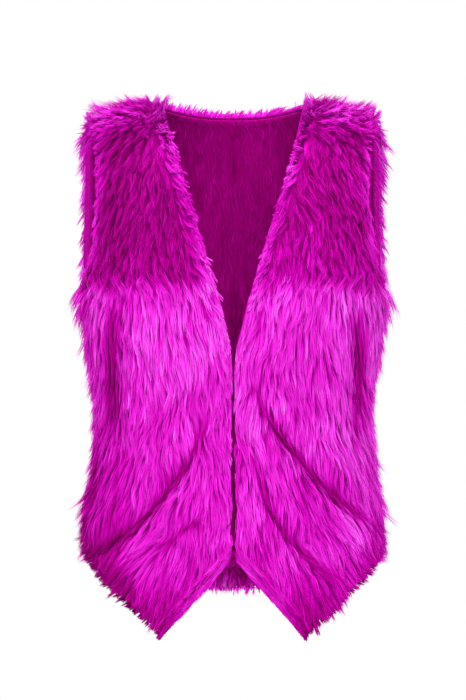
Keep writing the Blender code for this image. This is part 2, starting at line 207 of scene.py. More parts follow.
# Where the flanks' pile stands further out: height, reach up and down, how much
FLANK_SWELLS = {
    1: ((-0.385, 0.060, 0.0022), (-0.213, 0.012, 0.0090), (-0.246, 0.018, -0.0050)),
    -1: ((-0.213, 0.012, 0.0120), (-0.246, 0.018, -0.0065)),
}

# Heights at which fibres cross the slit, how far, and over what reach up and down
CLOSURE_CROSSINGS = (-0.3165, -0.373, -0.428, -0.487)
CROSSING_DEPTH = 0.0030
CROSSING_REACH = 0.0035

# Steps of a lock's line, and the least share of its length that is left at an edge
GUIDE_STEPS = 6
SHORTEST = 0.16

# Fibres in a lock, segments along a fibre of fur and of plush, and the most triangles in one piece
FRONT_FIBRES = 14
BACK_FIBRES = 8
SEGMENTS = 4
PLUSH_SEGMENTS = 3
MOST_TRIANGLES = 190_000

# Share of the back's length below the arm that its hem is turned up inside
HEM_FACING_SHARE = 0.075

# The photograph's camera and the studio. Lights have a name, a place, an aim, a size and a power.
CAMERA_PLACE = (0.0, -3.0, -0.295)
PICTURE_HEIGHT = 0.875
SENSOR = 36.0
LIGHTS = (
    ("key", (0.9, -2.4, 1.3), (0, 0, -0.3), 1.2, 32),
    ("fill", (-1.3, -2.2, 0.5), (0, 0, -0.3), 1.5, 26),
    ("top", (0.0, -0.7, 2.0), (0, 0, -0.1), 1.4, 46),
)
SURROUNDING_LIGHT = 1.03
FLOOR_RADIUS = 3.9
FLOOR_Z = -1.35
FLOOR_CORNERS = 96


def blend_in(low, high, value):
    """0 below low and 1 above high, with soft ends."""
    t = np.clip((value - low) / (high - low), 0.0, 1.0)
    return t * t * (3 - 2 * t)


def blend_out(low, high, value):
    """1 below low and 0 above high, with soft ends."""
    return 1 - blend_in(low, high, value)


def unit(vectors):
    """Vectors at length 1."""
    return vectors / np.maximum(np.linalg.norm(vectors, axis=-1, keepdims=True), 1e-12)


def read_smooth(at, places, values):
    """Reads a table along a smooth curve with no overshoot: cubic pieces with limited slopes."""
    step = np.diff(values) / np.diff(places)
    before, after = np.insert(step, 0, step[0]), np.append(step, step[-1])
    limit = 3 * np.minimum(np.abs(before), np.abs(after))
    slope = np.clip((before + after) / 2, -limit, limit) * (before * after > 0)
    at = np.clip(at, places[0], places[-1])
    k = np.clip(np.searchsorted(places, at, side="right") - 1, 0, len(places) - 2)
    width = places[k + 1] - places[k]
    t = (at - places[k]) / width
    return (
        values[k] * (1 + 2 * t) * (1 - t) ** 2
        + values[k + 1] * t**2 * (3 - 2 * t)
        + width * (slope[k] * t * (1 - t) ** 2 - slope[k + 1] * t**2 * (1 - t))
    )


def torso(column, height):
    """One size of the torso sections at a height: 1 half width, 2 front depth, 3 back depth."""
    table = np.array(TORSO)
    return read_smooth(height, table[:, 0], table[:, column])


def neck_edge_x(z):
    """How far out a front's neck edge is at a height."""
    return read_smooth(z, *np.array(NECK_EDGE).T)


class Quarter:
    """A quarter of a superellipse, from straight ahead to straight out, by share of its length."""

    def __init__(self, exponent, steps=2000):
        angle = np.linspace(0.0, math.pi / 2, steps + 1)
        self.out = np.sin(angle) ** (2 / exponent)
        self.ahead = np.append(np.cos(angle[:-1]) ** (2 / exponent), 0.0)
        run = np.concatenate([[0.0], np.cumsum(np.hypot(np.diff(self.out), np.diff(self.ahead)))])
        self.share = run / run[-1]

    def at(self, share):
        """(how far out, how far ahead) at a share of the way."""
        return np.interp(share, self.share, self.out), np.interp(share, self.share, self.ahead)

    def share_out(self, out):
        """The share of the way at which the curve is this far out."""
        return np.interp(out, self.out, self.share)

    def share_ahead(self, ahead):
        """The share of the way at which the curve is this far ahead."""
        return np.interp(-ahead, -self.ahead, self.share)


RING = Quarter(RING_EXPONENT)
CHEST = Quarter(CHEST_EXPONENT)
SHOULDER_BLADE = Quarter(SHOULDER_BLADE_EXPONENT)


def shoulder_height(x):
    """Height of the shoulder line at a distance from the midline."""
    beyond = np.clip((x - NECK_POINT_X) / (SHOULDER_TIP_X - NECK_POINT_X), 0.0, None)
    slope = SHOULDER_MID_Z - SHOULDER_SLOPE * np.hypot(x, SHOULDER_ROUNDING)
    return slope - SHOULDER_TIP_DROP * beyond**3


def body_points(share, rise, height, is_front):
    """Places on the torso, by share round it and either height or, above the arm, rise."""
    out, ahead = RING.at(share)
    up, level = (CHEST if is_front else SHOULDER_BLADE).at(rise)
    x = torso(1, height) * out
    y = torso(2 if is_front else 3, height) * ahead * level
    y = -np.maximum(y, SEAM_GAP / 2) if is_front else np.maximum(y, SEAM_GAP / 2)
    z = height + (shoulder_height(x) - UNDERARM_Z) * up
    return np.stack([x, y, z], axis=-1)


def body_rows(hem, below, above):
    """(height, rise) of a grid's rows, which crowd at the underarm to round the armhole."""
    low = np.linspace(0.0, 1.0, below + 1)
    high = np.linspace(0.0, 1.0, above + 1)[1:] ** ROW_CROWDING_AT_ARM
    height = hem[:, None] + (UNDERARM_Z - hem[:, None]) * np.concatenate([low, np.ones(above)])
    return height, np.concatenate([np.zeros(below + 1), high])


def armhole_share(rise, column):
    """Share round the section at which an edge of an armhole lies: 1 for fronts, 2 for the back."""
    table = np.array(ARMHOLE)
    return RING.share_ahead(read_smooth(np.sqrt(rise), np.sqrt(table[:, 0]), table[:, column]))


def front_grid(side):
    """(backing's places, where they lie on a seam) of a front, worked out at +X."""
    hem_width = torso(1, FRONT_POINT_HEM_Z)
    first = RING.share_out(CLOSURE_HALF_GAP / hem_width)
    point = RING.share_out(FRONT_POINT_X / hem_width)
    to_point = np.linspace(first, point, FRONT_COLUMNS_TO_POINT + 1)
    to_side = np.linspace(point, 1.0, FRONT_COLUMNS_TO_SIDE + 1)[1:]
    hem_share = np.concatenate([to_point, to_side])
    hem = np.interp(RING.at(hem_share)[0] * hem_width, *np.array(FRONT_HEM).T)
    height, rise = body_rows(hem, FRONT_ROWS_BELOW_ARM, FRONT_ROWS_ABOVE_ARM)

    edge_z = height[0] + (shoulder_height(NECK_POINT_X) - UNDERARM_Z) * CHEST.at(rise)[0]
    shifted = blend_in(-0.310, -0.260, edge_z) * blend_out(-0.050, -0.010, edge_z)
    edge_x = neck_edge_x(edge_z) + NECK_SHIFT[side] * shifted
    inner = RING.share_out(edge_x / torso(1, height[0]))
    spread = (hem_share[:, None] - first) / (1 - first)
    share = inner + (armhole_share(rise, 1) - inner) * spread
    seam = np.zeros(height.shape, bool)
    seam[-1, : FRONT_ROWS_BELOW_ARM + 1] = True
    seam[:, -1] = True
    return body_points(share, rise, height, True), seam


def back_grid():
    """(backing's places, where they lie on a seam) of the back."""
    spread = np.linspace(0.0, 1.0, HALF_BACK_COLUMNS + 1)
    hem_rise = (SIDE_HEM_Z - BACK_CENTRE_HEM_Z) * RING.at(spread)[0] ** BACK_HEM_EXPONENT
    height, rise = body_rows(BACK_CENTRE_HEM_Z + hem_rise, BACK_ROWS_BELOW_ARM, BACK_ROWS_ABOVE_ARM)
    share = spread[:, None] * armhole_share(rise, 2)
    out, ahead = RING.at(share[:, -1])
    x = out * torso(1, UNDERARM_Z)
    neck_y = BACK_NECK_Y * np.sqrt(np.clip(1 - (x / NECK_POINT_X) ** 2, 0.0, 1.0))
    top = SHOULDER_BLADE.share_ahead(neck_y / (ahead * torso(3, UNDERARM_Z)))
    seam = np.zeros(height.shape, bool)
    seam[-1, : BACK_ROWS_BELOW_ARM + 1] = True
    seam[:, -1] = x >= NECK_POINT_X
    half = body_points(share, rise * top[:, None], height, False)
    points = np.concatenate([half[:0:-1] * (-1, 1, 1), half])
    return points, np.concatenate([seam[:0:-1], seam])


def run_lengths(points, axis):
    """Distance along a grid from its first line, for every point."""
    steps = np.linalg.norm(np.diff(points, axis=axis), axis=-1)
    return np.insert(np.cumsum(steps, axis=axis), 0, 0.0, axis=axis)


def fold_path(fold):
    """(places along a fold, share of the way to each)."""
    start, middle, end = np.array(fold[0:2]), np.array(fold[2:4]), np.array(fold[4:6])
    bend = 2 * middle - (start + end) / 2
    along = np.linspace(0.0, 1.0, FOLD_STEPS + 1)
    t = along[:, None]
    return start * (1 - t) ** 2 + 2 * bend * t * (1 - t) + end * t**2, along


def fold_relief(x, z, folds, side):
    """How far folds move the cloth out at places seen from the front. side is -1 to mirror them."""
    moved = np.zeros_like(x)
    for fold in folds:
        places, along = fold_path(fold)
        apart = np.hypot(x[..., None] - side * places[:, 0], z[..., None] - places[:, 1])
        nearest = apart.argmin(-1)
        q = apart.min(-1) / fold[7]
        fade = np.sqrt(np.sin(math.pi * np.clip(along[nearest], FOLD_END, 1 - FOLD_END)))
        moved -= fold[6] * fade * (1 - 2 * q**2) * np.exp(-(q**2))
    return moved


def outward_normals(points, seam):
    """Unit normals of a grid, away from the body, and level with the seams' plane on a seam."""
    normal = np.cross(np.gradient(points, axis=0), np.gradient(points, axis=1))
    from_body = points * (1, 1, 0) + (0, 0, EDGE_ROUNDING)
    normal *= np.where((normal * from_body).sum(-1, keepdims=True) < 0, -1.0, 1.0)
    normal[..., 1] = np.where(seam, 0.0, normal[..., 1])
    return normal / np.linalg.norm(normal, axis=-1, keepdims=True)


def cells(grid, i, j):
    """(column, row, share across, share up) of places in the grid's cells that hold them."""
    low_i = np.clip(np.floor(i).astype(int), 0, grid.shape[0] - 2)
    low_j = np.clip(np.floor(j).astype(int), 0, grid.shape[1] - 2)
    return low_i, low_j, i - low_i, j - low_j


def read_grid(grid, i, j):
    """A grid's values at places. Past its ends it goes on as in its last cells."""
    k, m, s, t = cells(grid, i, j)
    if grid.ndim == 3:
        s, t = s[..., None], t[..., None]
    near = grid[k, m] * (1 - s) + grid[k + 1, m] * s
    far = grid[k, m + 1] * (1 - s) + grid[k + 1, m + 1] * s
    return near * (1 - t) + far * t


class Cloth:
    """A backing on a grid that can be read between its points and, along its tangents, past them."""

    def __init__(self, points, normal):
        self.points, self.normal = points, normal
        self.last = np.array(points.shape[:2]) - 1

    def nearest(self, grid, i, j):
        """A grid's values at places, or at the nearest ones on the cloth."""
        return read_grid(grid, np.clip(i, 0, self.last[0]), np.clip(j, 0, self.last[1]))

    def at(self, i, j):
        """(points, normals) of places."""
        return read_grid(self.points, i, j), unit(self.nearest(self.normal, i, j))

    def step(self, i, j, wanted):
        """Columns and rows to move for each metre over the cloth in the wanted directions."""
        p = self.points
        k, m, s, t = cells(p, i, j)
        s, t = np.clip(s, 0, 1)[:, None], np.clip(t, 0, 1)[:, None]
        du = (p[k + 1, m] - p[k, m]) * (1 - t) + (p[k + 1, m + 1] - p[k, m + 1]) * t
        dv = (p[k, m + 1] - p[k, m]) * (1 - s) + (p[k + 1, m + 1] - p[k + 1, m]) * s
        a, b, c = (du * du).sum(-1), (du * dv).sum(-1), (dv * dv).sum(-1)
        along_u, along_v = (du * wanted).sum(-1), (dv * wanted).sum(-1)
        det = a * c - b * b
        di, dj = (c * along_u - b * along_v) / det, (a * along_v - b * along_u) / det
        size = np.linalg.norm(du * di[:, None] + dv * dj[:, None], axis=-1)
        return di / size, dj / size


def sow(cloth, apart, rng, mask=1.0):
    """Random places on a cloth, none nearer to another than a distance. mask picks cells."""
    p = cloth.points
    cell = np.linalg.norm(np.cross(p[1:, :-1] - p[:-1, :-1], p[:-1, 1:] - p[:-1, :-1]), axis=-1) * mask
    tries = int(cell.sum() / apart**2 * 4)
    chosen = rng.choice(cell.size, tries, p=cell.ravel() / cell.sum())
    i = chosen // cell.shape[1] + rng.random(tries)
    j = chosen % cell.shape[1] + rng.random(tries)
    places = read_grid(p, i, j)
    boxes = np.floor(places / apart).astype(int).tolist()
    near = [(a, b, c) for a in (-1, 0, 1) for b in (-1, 0, 1) for c in (-1, 0, 1)]
    taken = {}
    kept = []
    for n, (box, place) in enumerate(zip(boxes, places.tolist())):
        keys = ((box[0] + a, box[1] + b, box[2] + c) for a, b, c in near)
        if all(math.dist(place, other) >= apart for key in keys for other in taken.get(key, ())):
            taken.setdefault(tuple(box), []).append(place)
            kept.append(n)
    return i[kept], j[kept]


def edge_places(cloth, rng, apart, lines):
    """Places at even distances along lines of (columns, rows), a little jittered."""
    found = []
    for line in lines:
        i, j = np.broadcast_arrays(*line)
        steps = np.linalg.norm(np.diff(read_grid(cloth.points, i, j), axis=0), axis=-1)
        run = np.concatenate([[0], np.cumsum(steps)])
        at = np.arange(0, run[-1], apart)
        at = at + rng.uniform(-0.3, 0.3, len(at)) * apart
        found.append((np.interp(at, run, i), np.interp(at, run, j)))
    return tuple(np.concatenate(values) for values in zip(*found))


class Ripple:
    """Smooth noise about 0, of about unit size, over places in space."""

    def __init__(self, rng, wavelength, waves=14, stretch=(1, 1, 1)):
        direction = unit(rng.normal(size=(waves, 3)))
        length = wavelength * rng.uniform(0.7, 1.5, size=(waves, 1))
        self.k = direction * 2 * math.pi / length / np.array(stretch)
        self.phase = rng.uniform(0, 2 * math.pi, size=waves)

    def at(self, places):
        """The noise at places."""
        return np.sin(places @ self.k.T + self.phase).sum(-1) / math.sqrt(len(self.phase) / 2)


def fur_ripples(rng):
    """The noises of a fur piece: its sway, its patches of tint, which are random tone and painted shade of
    small soft folds, and its swelling locks.
    """
    return Ripple(rng, 0.05), Ripple(rng, 0.045, stretch=(1, 1, 1.8)), Ripple(rng, 0.016)


def comb(cloth, i, j, length, direction_at):
    """Lines over the cloth from its places, along its lay: (points, normals, columns, rows)."""
    found = []
    for _ in range(GUIDE_STEPS + 1):
        place, normal = cloth.at(i, j)
        found.append((place, normal, i, j))
        di, dj = cloth.step(i, j, direction_at(place, normal, i, j))
        i = i + di * length / GUIDE_STEPS
        j = j + dj * length / GUIDE_STEPS
    return tuple(np.stack(values, 1) for values in zip(*found))


def comb_within(cloth, i, j, length, direction_at, edges):
    """(*comb's lines, their lengths), shortened where they would pass an edge by more than they may.

    edges are (distance grid, allowed overhang of each line).
    """
    _, _, on_i, on_j = comb(cloth, i, j, length, direction_at)
    share = np.ones(len(i))
    for grid, allowed in edges:
        root, tip = read_grid(grid, i, j), read_grid(grid, on_i[:, -1], on_j[:, -1])
        reach = np.maximum(root + allowed, 0.002) / np.maximum(root - tip, 1e-6)
        share = np.where(tip < -allowed, np.minimum(share, reach), share)
    length = length * np.clip(share, SHORTEST, 1.0)
    return *comb(cloth, i, j, length, direction_at), length


def grow(rng, places, normals, each, segments, look):
    """Fibres in locks along lines: (left edges, right edges, tips, tints), all by fibre.

    look has a number or a value for each line: the lock's radius, height, lift at the tip, rise, clump,
    wave, wavelength, phase, stray, roll, ragged, tint and length, and the fibres' width. Its field has a
    tint to add for each place on each line: painted light and shade.
    """
    tangent = unit(np.gradient(places, axis=1))
    side = unit(np.cross(tangent, normals))
    lock = np.repeat(np.arange(len(places)), each)
    count = len(lock)
    angle = rng.uniform(0, 2 * math.pi, count)
    radius = np.sqrt(rng.random(count))
    across, ahead = np.cos(angle) * radius, np.sin(angle) * radius
    each_line = {key: value for key, value in look.items() if key != "field"}
    of = {key: np.broadcast_to(value, len(places))[lock][:, None] for key, value in each_line.items()}
    t = np.linspace(0.0, 1.0, segments + 1)[None, :]
    reach = (1 - of["ragged"][:, 0] * rng.random(count)) * (1 - 0.12 * radius**2)
    along = t * reach[:, None] * GUIDE_STEPS
    low = np.clip(np.floor(along).astype(int), 0, GUIDE_STEPS - 1)
    part = (along - low)[..., None]

    def read(values):
        return values[lock[:, None], low] * (1 - part) + values[lock[:, None], low + 1] * part

    n = unit(read(normals))
    clump = 1 - (1 - of["clump"]) * t**0.8
    jitter = rng.normal(size=(count, 1))
    turns = 2 * math.pi * t * of["length"] / of["wavelength"]
    swing = np.sin(turns + of["phase"] + 0.5 * jitter) - np.sin(of["phase"] + 0.5 * jitter)
    stray = rng.normal(size=(count, 1)) * of["stray"]
    sideways = across[:, None] * of["radius"] * clump + of["wave"] * t**0.7 * swing + stray * t**1.5
    forward = ahead[:, None] * of["radius"] * (1 - 0.5 * t)
    dome = 1 - 0.30 * radius[:, None] ** 2
    own = rng.uniform(0.90, 1.06, (count, 1))
    height = of["height"] * own * dome * (1 - (1 - t) ** of["rise"]) + of["lift"] * t**2
    height += 0.35 * of["wave"] * t * np.sin(0.8 * turns + of["phase"] * 1.7 + jitter)
    centre = read(places) + unit(read(side)) * sideways[..., None]
    centre += unit(read(tangent)) * forward[..., None] + n * height[..., None]

    line = unit(np.gradient(centre, axis=1))
    roll = (across * 0.6 + rng.normal(size=count) * of["roll"][:, 0])[:, None, None]
    flat = unit(np.cross(line, n))
    wide = flat * np.cos(roll) + np.cross(flat, line) * np.sin(roll)
    taper = np.clip(1.15 - 1.0 * t**1.6, 0.0, 1.0)
    half = (of["width"] * rng.uniform(0.75, 1.2, (count, 1)) * taper / 2)[..., None]
    tint = of["tint"] + read(look["field"][..., None])[..., 0] + rng.normal(size=(count, 1)) * 0.06
    return centre - wide * half, centre + wide * half, centre[:, -1], np.clip(tint, 0.02, 0.97)


def add_object(name, data):
    """A new object in the scene."""
    made = bpy.data.objects.new(name, data)
    bpy.context.scene.collection.objects.link(made)
    return made


def fibre_mesh(name, left, right, tip, tint, material):
    """One mesh of flat tapered fibres, with a map of tint against share of the length."""
    count, segments = left.shape[0], left.shape[1] - 1
    body = np.stack([left[:, :-1], right[:, :-1]], axis=2).reshape(count, 2 * segments, 3)
    points = np.concatenate([body, tip[:, None]], axis=1).reshape(-1, 3)
    first = np.arange(count)[:, None] * (2 * segments + 1)
    k = first + np.arange(segments - 1)[None, :] * 2
    quads = np.stack([k, k + 1, k + 3, k + 2], axis=-1)
    ends = first + 2 * (segments - 1) + np.arange(3)
    loops = np.concatenate([quads.reshape(count, -1), ends], axis=1).ravel()
    corners = 4 * (segments - 1) + 3
    starts = (np.arange(count)[:, None] * corners + np.arange(segments) * 4).ravel()

    mesh = bpy.data.meshes.new(name)
    mesh.vertices.add(len(points))
    mesh.vertices.foreach_set("co", points.astype(np.float32).ravel())
    mesh.loops.add(len(loops))
    mesh.loops.foreach_set("vertex_index", loops.astype(np.int32))
    mesh.polygons.add(len(starts))
    mesh.polygons.foreach_set("loop_start", starts.astype(np.int32))
    mesh.update(calc_edges=True)
    mesh.shade_smooth()

    share = np.concatenate([np.repeat(np.arange(segments) / segments, 2), [1.0]])
    offset = np.concatenate([np.tile([-0.01, 0.01], segments), [0.0]])
    u = np.concatenate([np.repeat(tint[:, :-1], 2, axis=1), tint[:, -1:]], axis=1) + offset
    v = np.tile(0.02 + 0.96 * share, count)
    uv = np.stack([u.ravel()[loops], v[loops]], axis=-1)
    mesh.uv_layers.new(name="OFBake").uv.foreach_set("vector", uv.astype(np.float32).ravel())
    mesh.materials.append(material)
    return add_object(name, mesh)


def fibre_pieces(name, strands, material):
    """Fibre meshes of no more than so many triangles each, which ride on the body."""
    left, right, tip, tint = strands
    parts = math.ceil(len(left) * (2 * left.shape[1] - 3) / MOST_TRIANGLES)
    made = []
    for n, chunk in enumerate(np.array_split(np.arange(len(left)), parts)):
        piece = fibre_mesh(f"{name}_{n + 1}", left[chunk], right[chunk], tip[chunk], tint[chunk], material)
        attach(piece, "root")
        made.append(piece)
    return made


def shell(name, outer, inner, materials, side=1, seam=None):
    """A thin closed cloth between two grids. Its inner face and rim take the second material.

    side is -1 to mirror it. seam marks the grid's points whose inner faces and rim take the third one.
    """
    columns, rows = outer.shape[:2]
    far = columns * rows
    points = np.concatenate([outer.reshape(-1, 3), inner.reshape(-1, 3)]) * (side, 1, 1)
    index = np.arange(far).reshape(columns, rows)
    face = np.stack([index[:-1, :-1], index[1:, :-1], index[1:, 1:], index[:-1, 1:]], -1).reshape(-1, 4)
    rim = np.concatenate([index[:-1, 0], index[-1, :-1], index[:0:-1, -1], index[0, :0:-1]])
    after = np.roll(rim, -1)
    wall = np.stack([rim, rim + far, after + far, after], -1)
    faces = np.concatenate([face, face[:, ::-1] + far, wall])
    middle = faces[len(face) // 2]
    a, b, d = points[middle[0]], points[middle[1]], points[middle[3]]
    if np.dot(np.cross(b - a, d - a), a - points[middle[0] + far]) < 0:
        faces = faces[:, ::-1]
    mesh = bpy.data.meshes.new(name)
    mesh.from_pydata(points.tolist(), [], faces.tolist())
    for material in materials:
        mesh.materials.append(material)
    kinds = np.ones(len(faces), np.int32)
    kinds[: len(face)] = 0
    if seam is not None:
        kinds[(kinds == 1) & seam.ravel()[faces % far].all(-1)] = 2
    mesh.polygons.foreach_set("material_index", kinds)
    mesh.shade_smooth()
    mesh.update()
    return add_object(name, mesh)


def node(tree, kind, **settings):
    """A new shader node with its settings."""
    made = tree.nodes.new(kind)
    for key, value in settings.items():
        setattr(made, key, value)
    return made


def new_material(name, roughness, specular):
    """(material, its node tree, its shader)."""
    made = bpy.data.materials.new(name)
    made.use_nodes = True
    shader = made.node_tree.nodes["Principled BSDF"]
    shader.inputs["Roughness"].default_value = roughness
    shader.inputs["Specular IOR Level"].default_value = specular
    return made, made.node_tree, shader


def ramp(tree, factor, stops):
    """A colour ramp over a value."""
    made = node(tree, "ShaderNodeValToRGB")
    tree.links.new(factor, made.inputs["Fac"])
    elements = made.color_ramp.elements
    while len(elements) < len(stops):
        elements.new(0.5)
    for element, (position, colour) in zip(elements, stops):
        element.position = position
        element.color = (*colour, 1.0)
    return made.outputs["Color"]


def fibre_material(name, tints, lengths, roughness, specular):
    """Fibres whose colour is a tint, darker towards the root as painted shade low in the pile, read from
    their OFBake map.
    """
    made, tree, shader = new_material(name, roughness, specular)
    uv = node(tree, "ShaderNodeUVMap", uv_map="OFBake")
    split = node(tree, "ShaderNodeSeparateXYZ")
    tree.links.new(uv.outputs["UV"], split.inputs[0])
    mix = node(tree, "ShaderNodeMix", data_type="RGBA", blend_type="MULTIPLY")
    mix.inputs["Factor"].default_value = 1.0
    tree.links.new(ramp(tree, split.outputs["X"], tints), mix.inputs["A"])
    tree.links.new(ramp(tree, split.outputs["Y"], lengths), mix.inputs["B"])
    tree.links.new(mix.outputs["Result"], shader.inputs["Base Color"])
    return made


def cloth_material(name, low, high, scale, bump, chest=None):
    """A plush or knitted face, mottled between two colours, with fine vertical fibre relief.

    chest has the two darker colours above the chest's edge, painted shade where the chest's pile takes less
    light.
    """
    made, tree, shader = new_material(name, 0.9, 0.03)
    place = node(tree, "ShaderNodeTexCoord")
    stretch = node(tree, "ShaderNodeMapping")
    stretch.inputs["Scale"].default_value = (scale, scale, scale * 0.22)
    tree.links.new(place.outputs["Object"], stretch.inputs["Vector"])
    noise = node(tree, "ShaderNodeTexNoise")
    noise.inputs["Scale"].default_value = 1.0
    noise.inputs["Detail"].default_value = 5.0
    noise.inputs["Distortion"].default_value = 0.6
    tree.links.new(stretch.outputs["Vector"], noise.inputs["Vector"])
    colour = ramp(tree, noise.outputs["Fac"], ((0.3, low), (0.7, high)))
    if chest:
        split = node(tree, "ShaderNodeSeparateXYZ")
        tree.links.new(place.outputs["Object"], split.inputs[0])
        above = node(tree, "ShaderNodeMapRange")
        above.inputs["From Min"].default_value = CHEST_Z[0]
        above.inputs["From Max"].default_value = CHEST_Z[1]
        tree.links.new(split.outputs["Z"], above.inputs["Value"])
        mix = node(tree, "ShaderNodeMix", data_type="RGBA")
        tree.links.new(above.outputs["Result"], mix.inputs["Factor"])
        tree.links.new(colour, mix.inputs["A"])
        # The chest's painted shade
        chest_shade = ramp(tree, noise.outputs["Fac"], ((0.3, chest[0]), (0.7, chest[1])))
        tree.links.new(chest_shade, mix.inputs["B"])
        colour = mix.outputs["Result"]
    tree.links.new(colour, shader.inputs["Base Color"])
    relief = node(tree, "ShaderNodeBump")
    relief.inputs["Strength"].default_value = bump
    relief.inputs["Distance"].default_value = 0.001
    tree.links.new(noise.outputs["Fac"], relief.inputs["Height"])
    tree.links.new(relief.outputs["Normal"], shader.inputs["Normal"])
    return made


# Fur fibres. The length ramp darkens them towards the root: painted shade low in the pile. The paler,
# pinker top of the tint ramp is painted sheen, as their specular is almost nil, and its low end serves
# painted shade.
FUR = fibre_material(
    "fur_fibres",
    (
        (0.0, (0.08, 0.0, 0.035)),
        (0.25, (0.37, 0.0, 0.22)),
        (0.45, (0.57, 0.0003, 0.43)),
        (0.65, (0.77, 0.024, 0.67)),
        (0.82, (0.86, 0.14, 0.84)),
        (1.0, (0.92, 0.30, 0.93)),
    ),
    ((0.0, (0.78, 0.05, 0.73)), (0.35, (0.91, 0.35, 0.89)), (0.75, (1.0, 1.0, 1.0))),
    0.5,
    0.015,
)
# Plush fibres. The length ramp darkens them towards the root: painted shade low in the pile.
PLUSH = fibre_material(
    "plush_fibres",
    ((0.0, (0.24, 0.0, 0.115)), (0.5, (0.58, 0.0003, 0.33)), (1.0, (0.86, 0.003, 0.59))),
    ((0.0, (0.6, 0.6, 0.6)), (1.0, (1.0, 1.0, 1.0))),
    0.6,
    0.0,
)
# Darker undercoat colours above the chest's edge: painted shade, as on the chest's fibres
CHEST_SHADE_COLOURS = ((0.22, 0.0, 0.13), (0.36, 0.0002, 0.24))
UNDERCOAT = cloth_material(
    "fur_undercoat", (0.38, 0.0004, 0.27), (0.57, 0.003, 0.45), 500.0, 0.6, CHEST_SHADE_COLOURS
)
BACK_UNDERCOAT = cloth_material("back_undercoat", (0.38, 0.0004, 0.27), (0.58, 0.004, 0.46), 500.0, 0.6)
FACING = cloth_material("plush_facing", (0.24, 0.0, 0.125), (0.41, 0.0003, 0.228), 320.0, 0.7)
BAND = cloth_material("armhole_band", (0.26, 0.0003, 0.160), (0.40, 0.0012, 0.270), 420.0, 0.5)
# A much darker cloth colour that is painted shadow: it stands where the back's neck edge meets the lining,
# on the inner face and rim.
SEAM_SHADOW = cloth_material("seam_shadow", (0.13, 0.0, 0.07), (0.20, 0.0, 0.11), 420.0, 0.5)


def read_lay(x, z):
    """Degrees by which a front's pile turns outward at distances out and heights."""
    rows = np.interp(z, [row[0] for row in LAY], np.arange(len(LAY)))
    columns = np.interp(x, LAY_OUT, np.arange(len(LAY_OUT)))
    return read_grid(np.array([row[1] for row in LAY], float), rows, columns)


def comb_along_folds(angle, x, z, side):
    """Turns the lay below some folds along them, less and less with distance."""
    for number, reach in COMBED_FOLDS:
        fold = FRONT_FOLDS[number]
        if fold[0] * side < 0:
            continue
        places, along = fold_path(fold)
        places = places * (side, 1)
        apart_x, apart_z = x[:, None] - places[:, 0], z[:, None] - places[:, 1]
        distance = np.hypot(apart_x, apart_z)
        nearest = distance.argmin(-1)
        line = np.arange(len(x))
        slope = np.gradient(places, axis=0)[nearest]
        turn = np.degrees(np.arctan2(slope[:, 0], -slope[:, 1])) - 9
        under = apart_z[line, nearest] * slope[:, 0] - apart_x[line, nearest] * slope[:, 1] < 0
        gap = np.where(under, 1.0, -1.0) * distance[line, nearest]
        weight = blend_in(-0.010, 0.005, gap) * np.exp(-np.clip(gap - 0.004, 0.0, None) / reach)
        weight *= blend_in(0.02, 0.35, along[nearest]) * blend_out(0.93, 1.0, along[nearest])
        weight *= blend_in(0.010, 0.034, x) * (1 - 0.75 * blend_in(0.128, 0.158, x))
        angle = angle + (turn - angle) * 0.82 * weight
    return angle


def on_slant(hem, x):
    """1 in the strip along a front's slanted hem, from the closure to the point, and 0 away from it."""
    return blend_out(0.011, 0.016, hem) * blend_out(0.080, 0.090, x)


def lean_of(z):
    """How much a combed direction leans forward or back: more over the shoulders."""
    return 0.12 + 0.38 * blend_in(-0.10, -0.03, z)


class Wall:
    """A fur piece's backing with its folds and its distances round it and to its edges."""

    def __init__(self, grid, folds, side, arm_row):
        points, seam = grid
        self.side = side
        self.around, self.hem = run_lengths(points, 0), run_lengths(points, 1)
        self.below_arm = np.clip(self.hem[-1, arm_row] - self.hem[-1], 0.0, None)
        ease = np.clip(np.abs(points[..., 1]) / SEAM_EASE, 0.0, 1.0)
        self.relief = fold_relief(points[..., 0], points[..., 2], folds, side) * ease
        points = points + outward_normals(points, seam) * self.relief[..., None]
        self.cloth = Cloth(points, outward_normals(points, seam))

    def to_arm(self, across):
        """Distance to an armhole, from the distance across to its side of the piece."""
        return np.where(self.below_arm > 0, np.hypot(across, self.below_arm), across)


class Front(Wall):
    """A front. side is 1 for the wearer's left and -1 for the right."""

    def __init__(self, side):
        super().__init__(front_grid(side), FRONT_FOLDS, side, FRONT_ROWS_BELOW_ARM)
        self.neck = self.around
        self.arm = self.to_arm(self.around[-1:] - self.around)
        self.free = np.minimum(np.minimum(self.hem, self.arm), self.neck)

    def direction_at(self, turn, rim_turn):
        """A function for comb, with each line's own turns in degrees, all over and at the neck."""

        def direction(place, _normal, i, j):
            x, z = place[:, 0], place[:, 2]
            angle = comb_along_folds(read_lay(x, z), x, z, self.side)
            neck, hem = read_grid(self.neck, i, j), read_grid(self.hem, i, j)
            slope = (neck_edge_x(z + 0.004) - neck_edge_x(z - 0.004)) / 0.008
            inward = 3 + 24 * blend_in(0.001, 0.012, neck) + rim_turn
            over = -np.degrees(np.arctan(slope)) - inward * np.clip(neck_edge_x(z) / 0.03, 0.0, 1.0)
            rim = blend_out(0.006, 0.020 + 0.010 * blend_in(-0.060, -0.020, z), neck) * blend_in(*V_Z, z)
            angle = angle * (1 - rim) + over * rim
            slant = on_slant(hem, x)
            angle = np.radians(angle * (1 - slant) + 42 * slant + turn)
            return np.stack([np.sin(angle), -lean_of(z) * np.cos(angle), -np.cos(angle)], -1)

        return direction


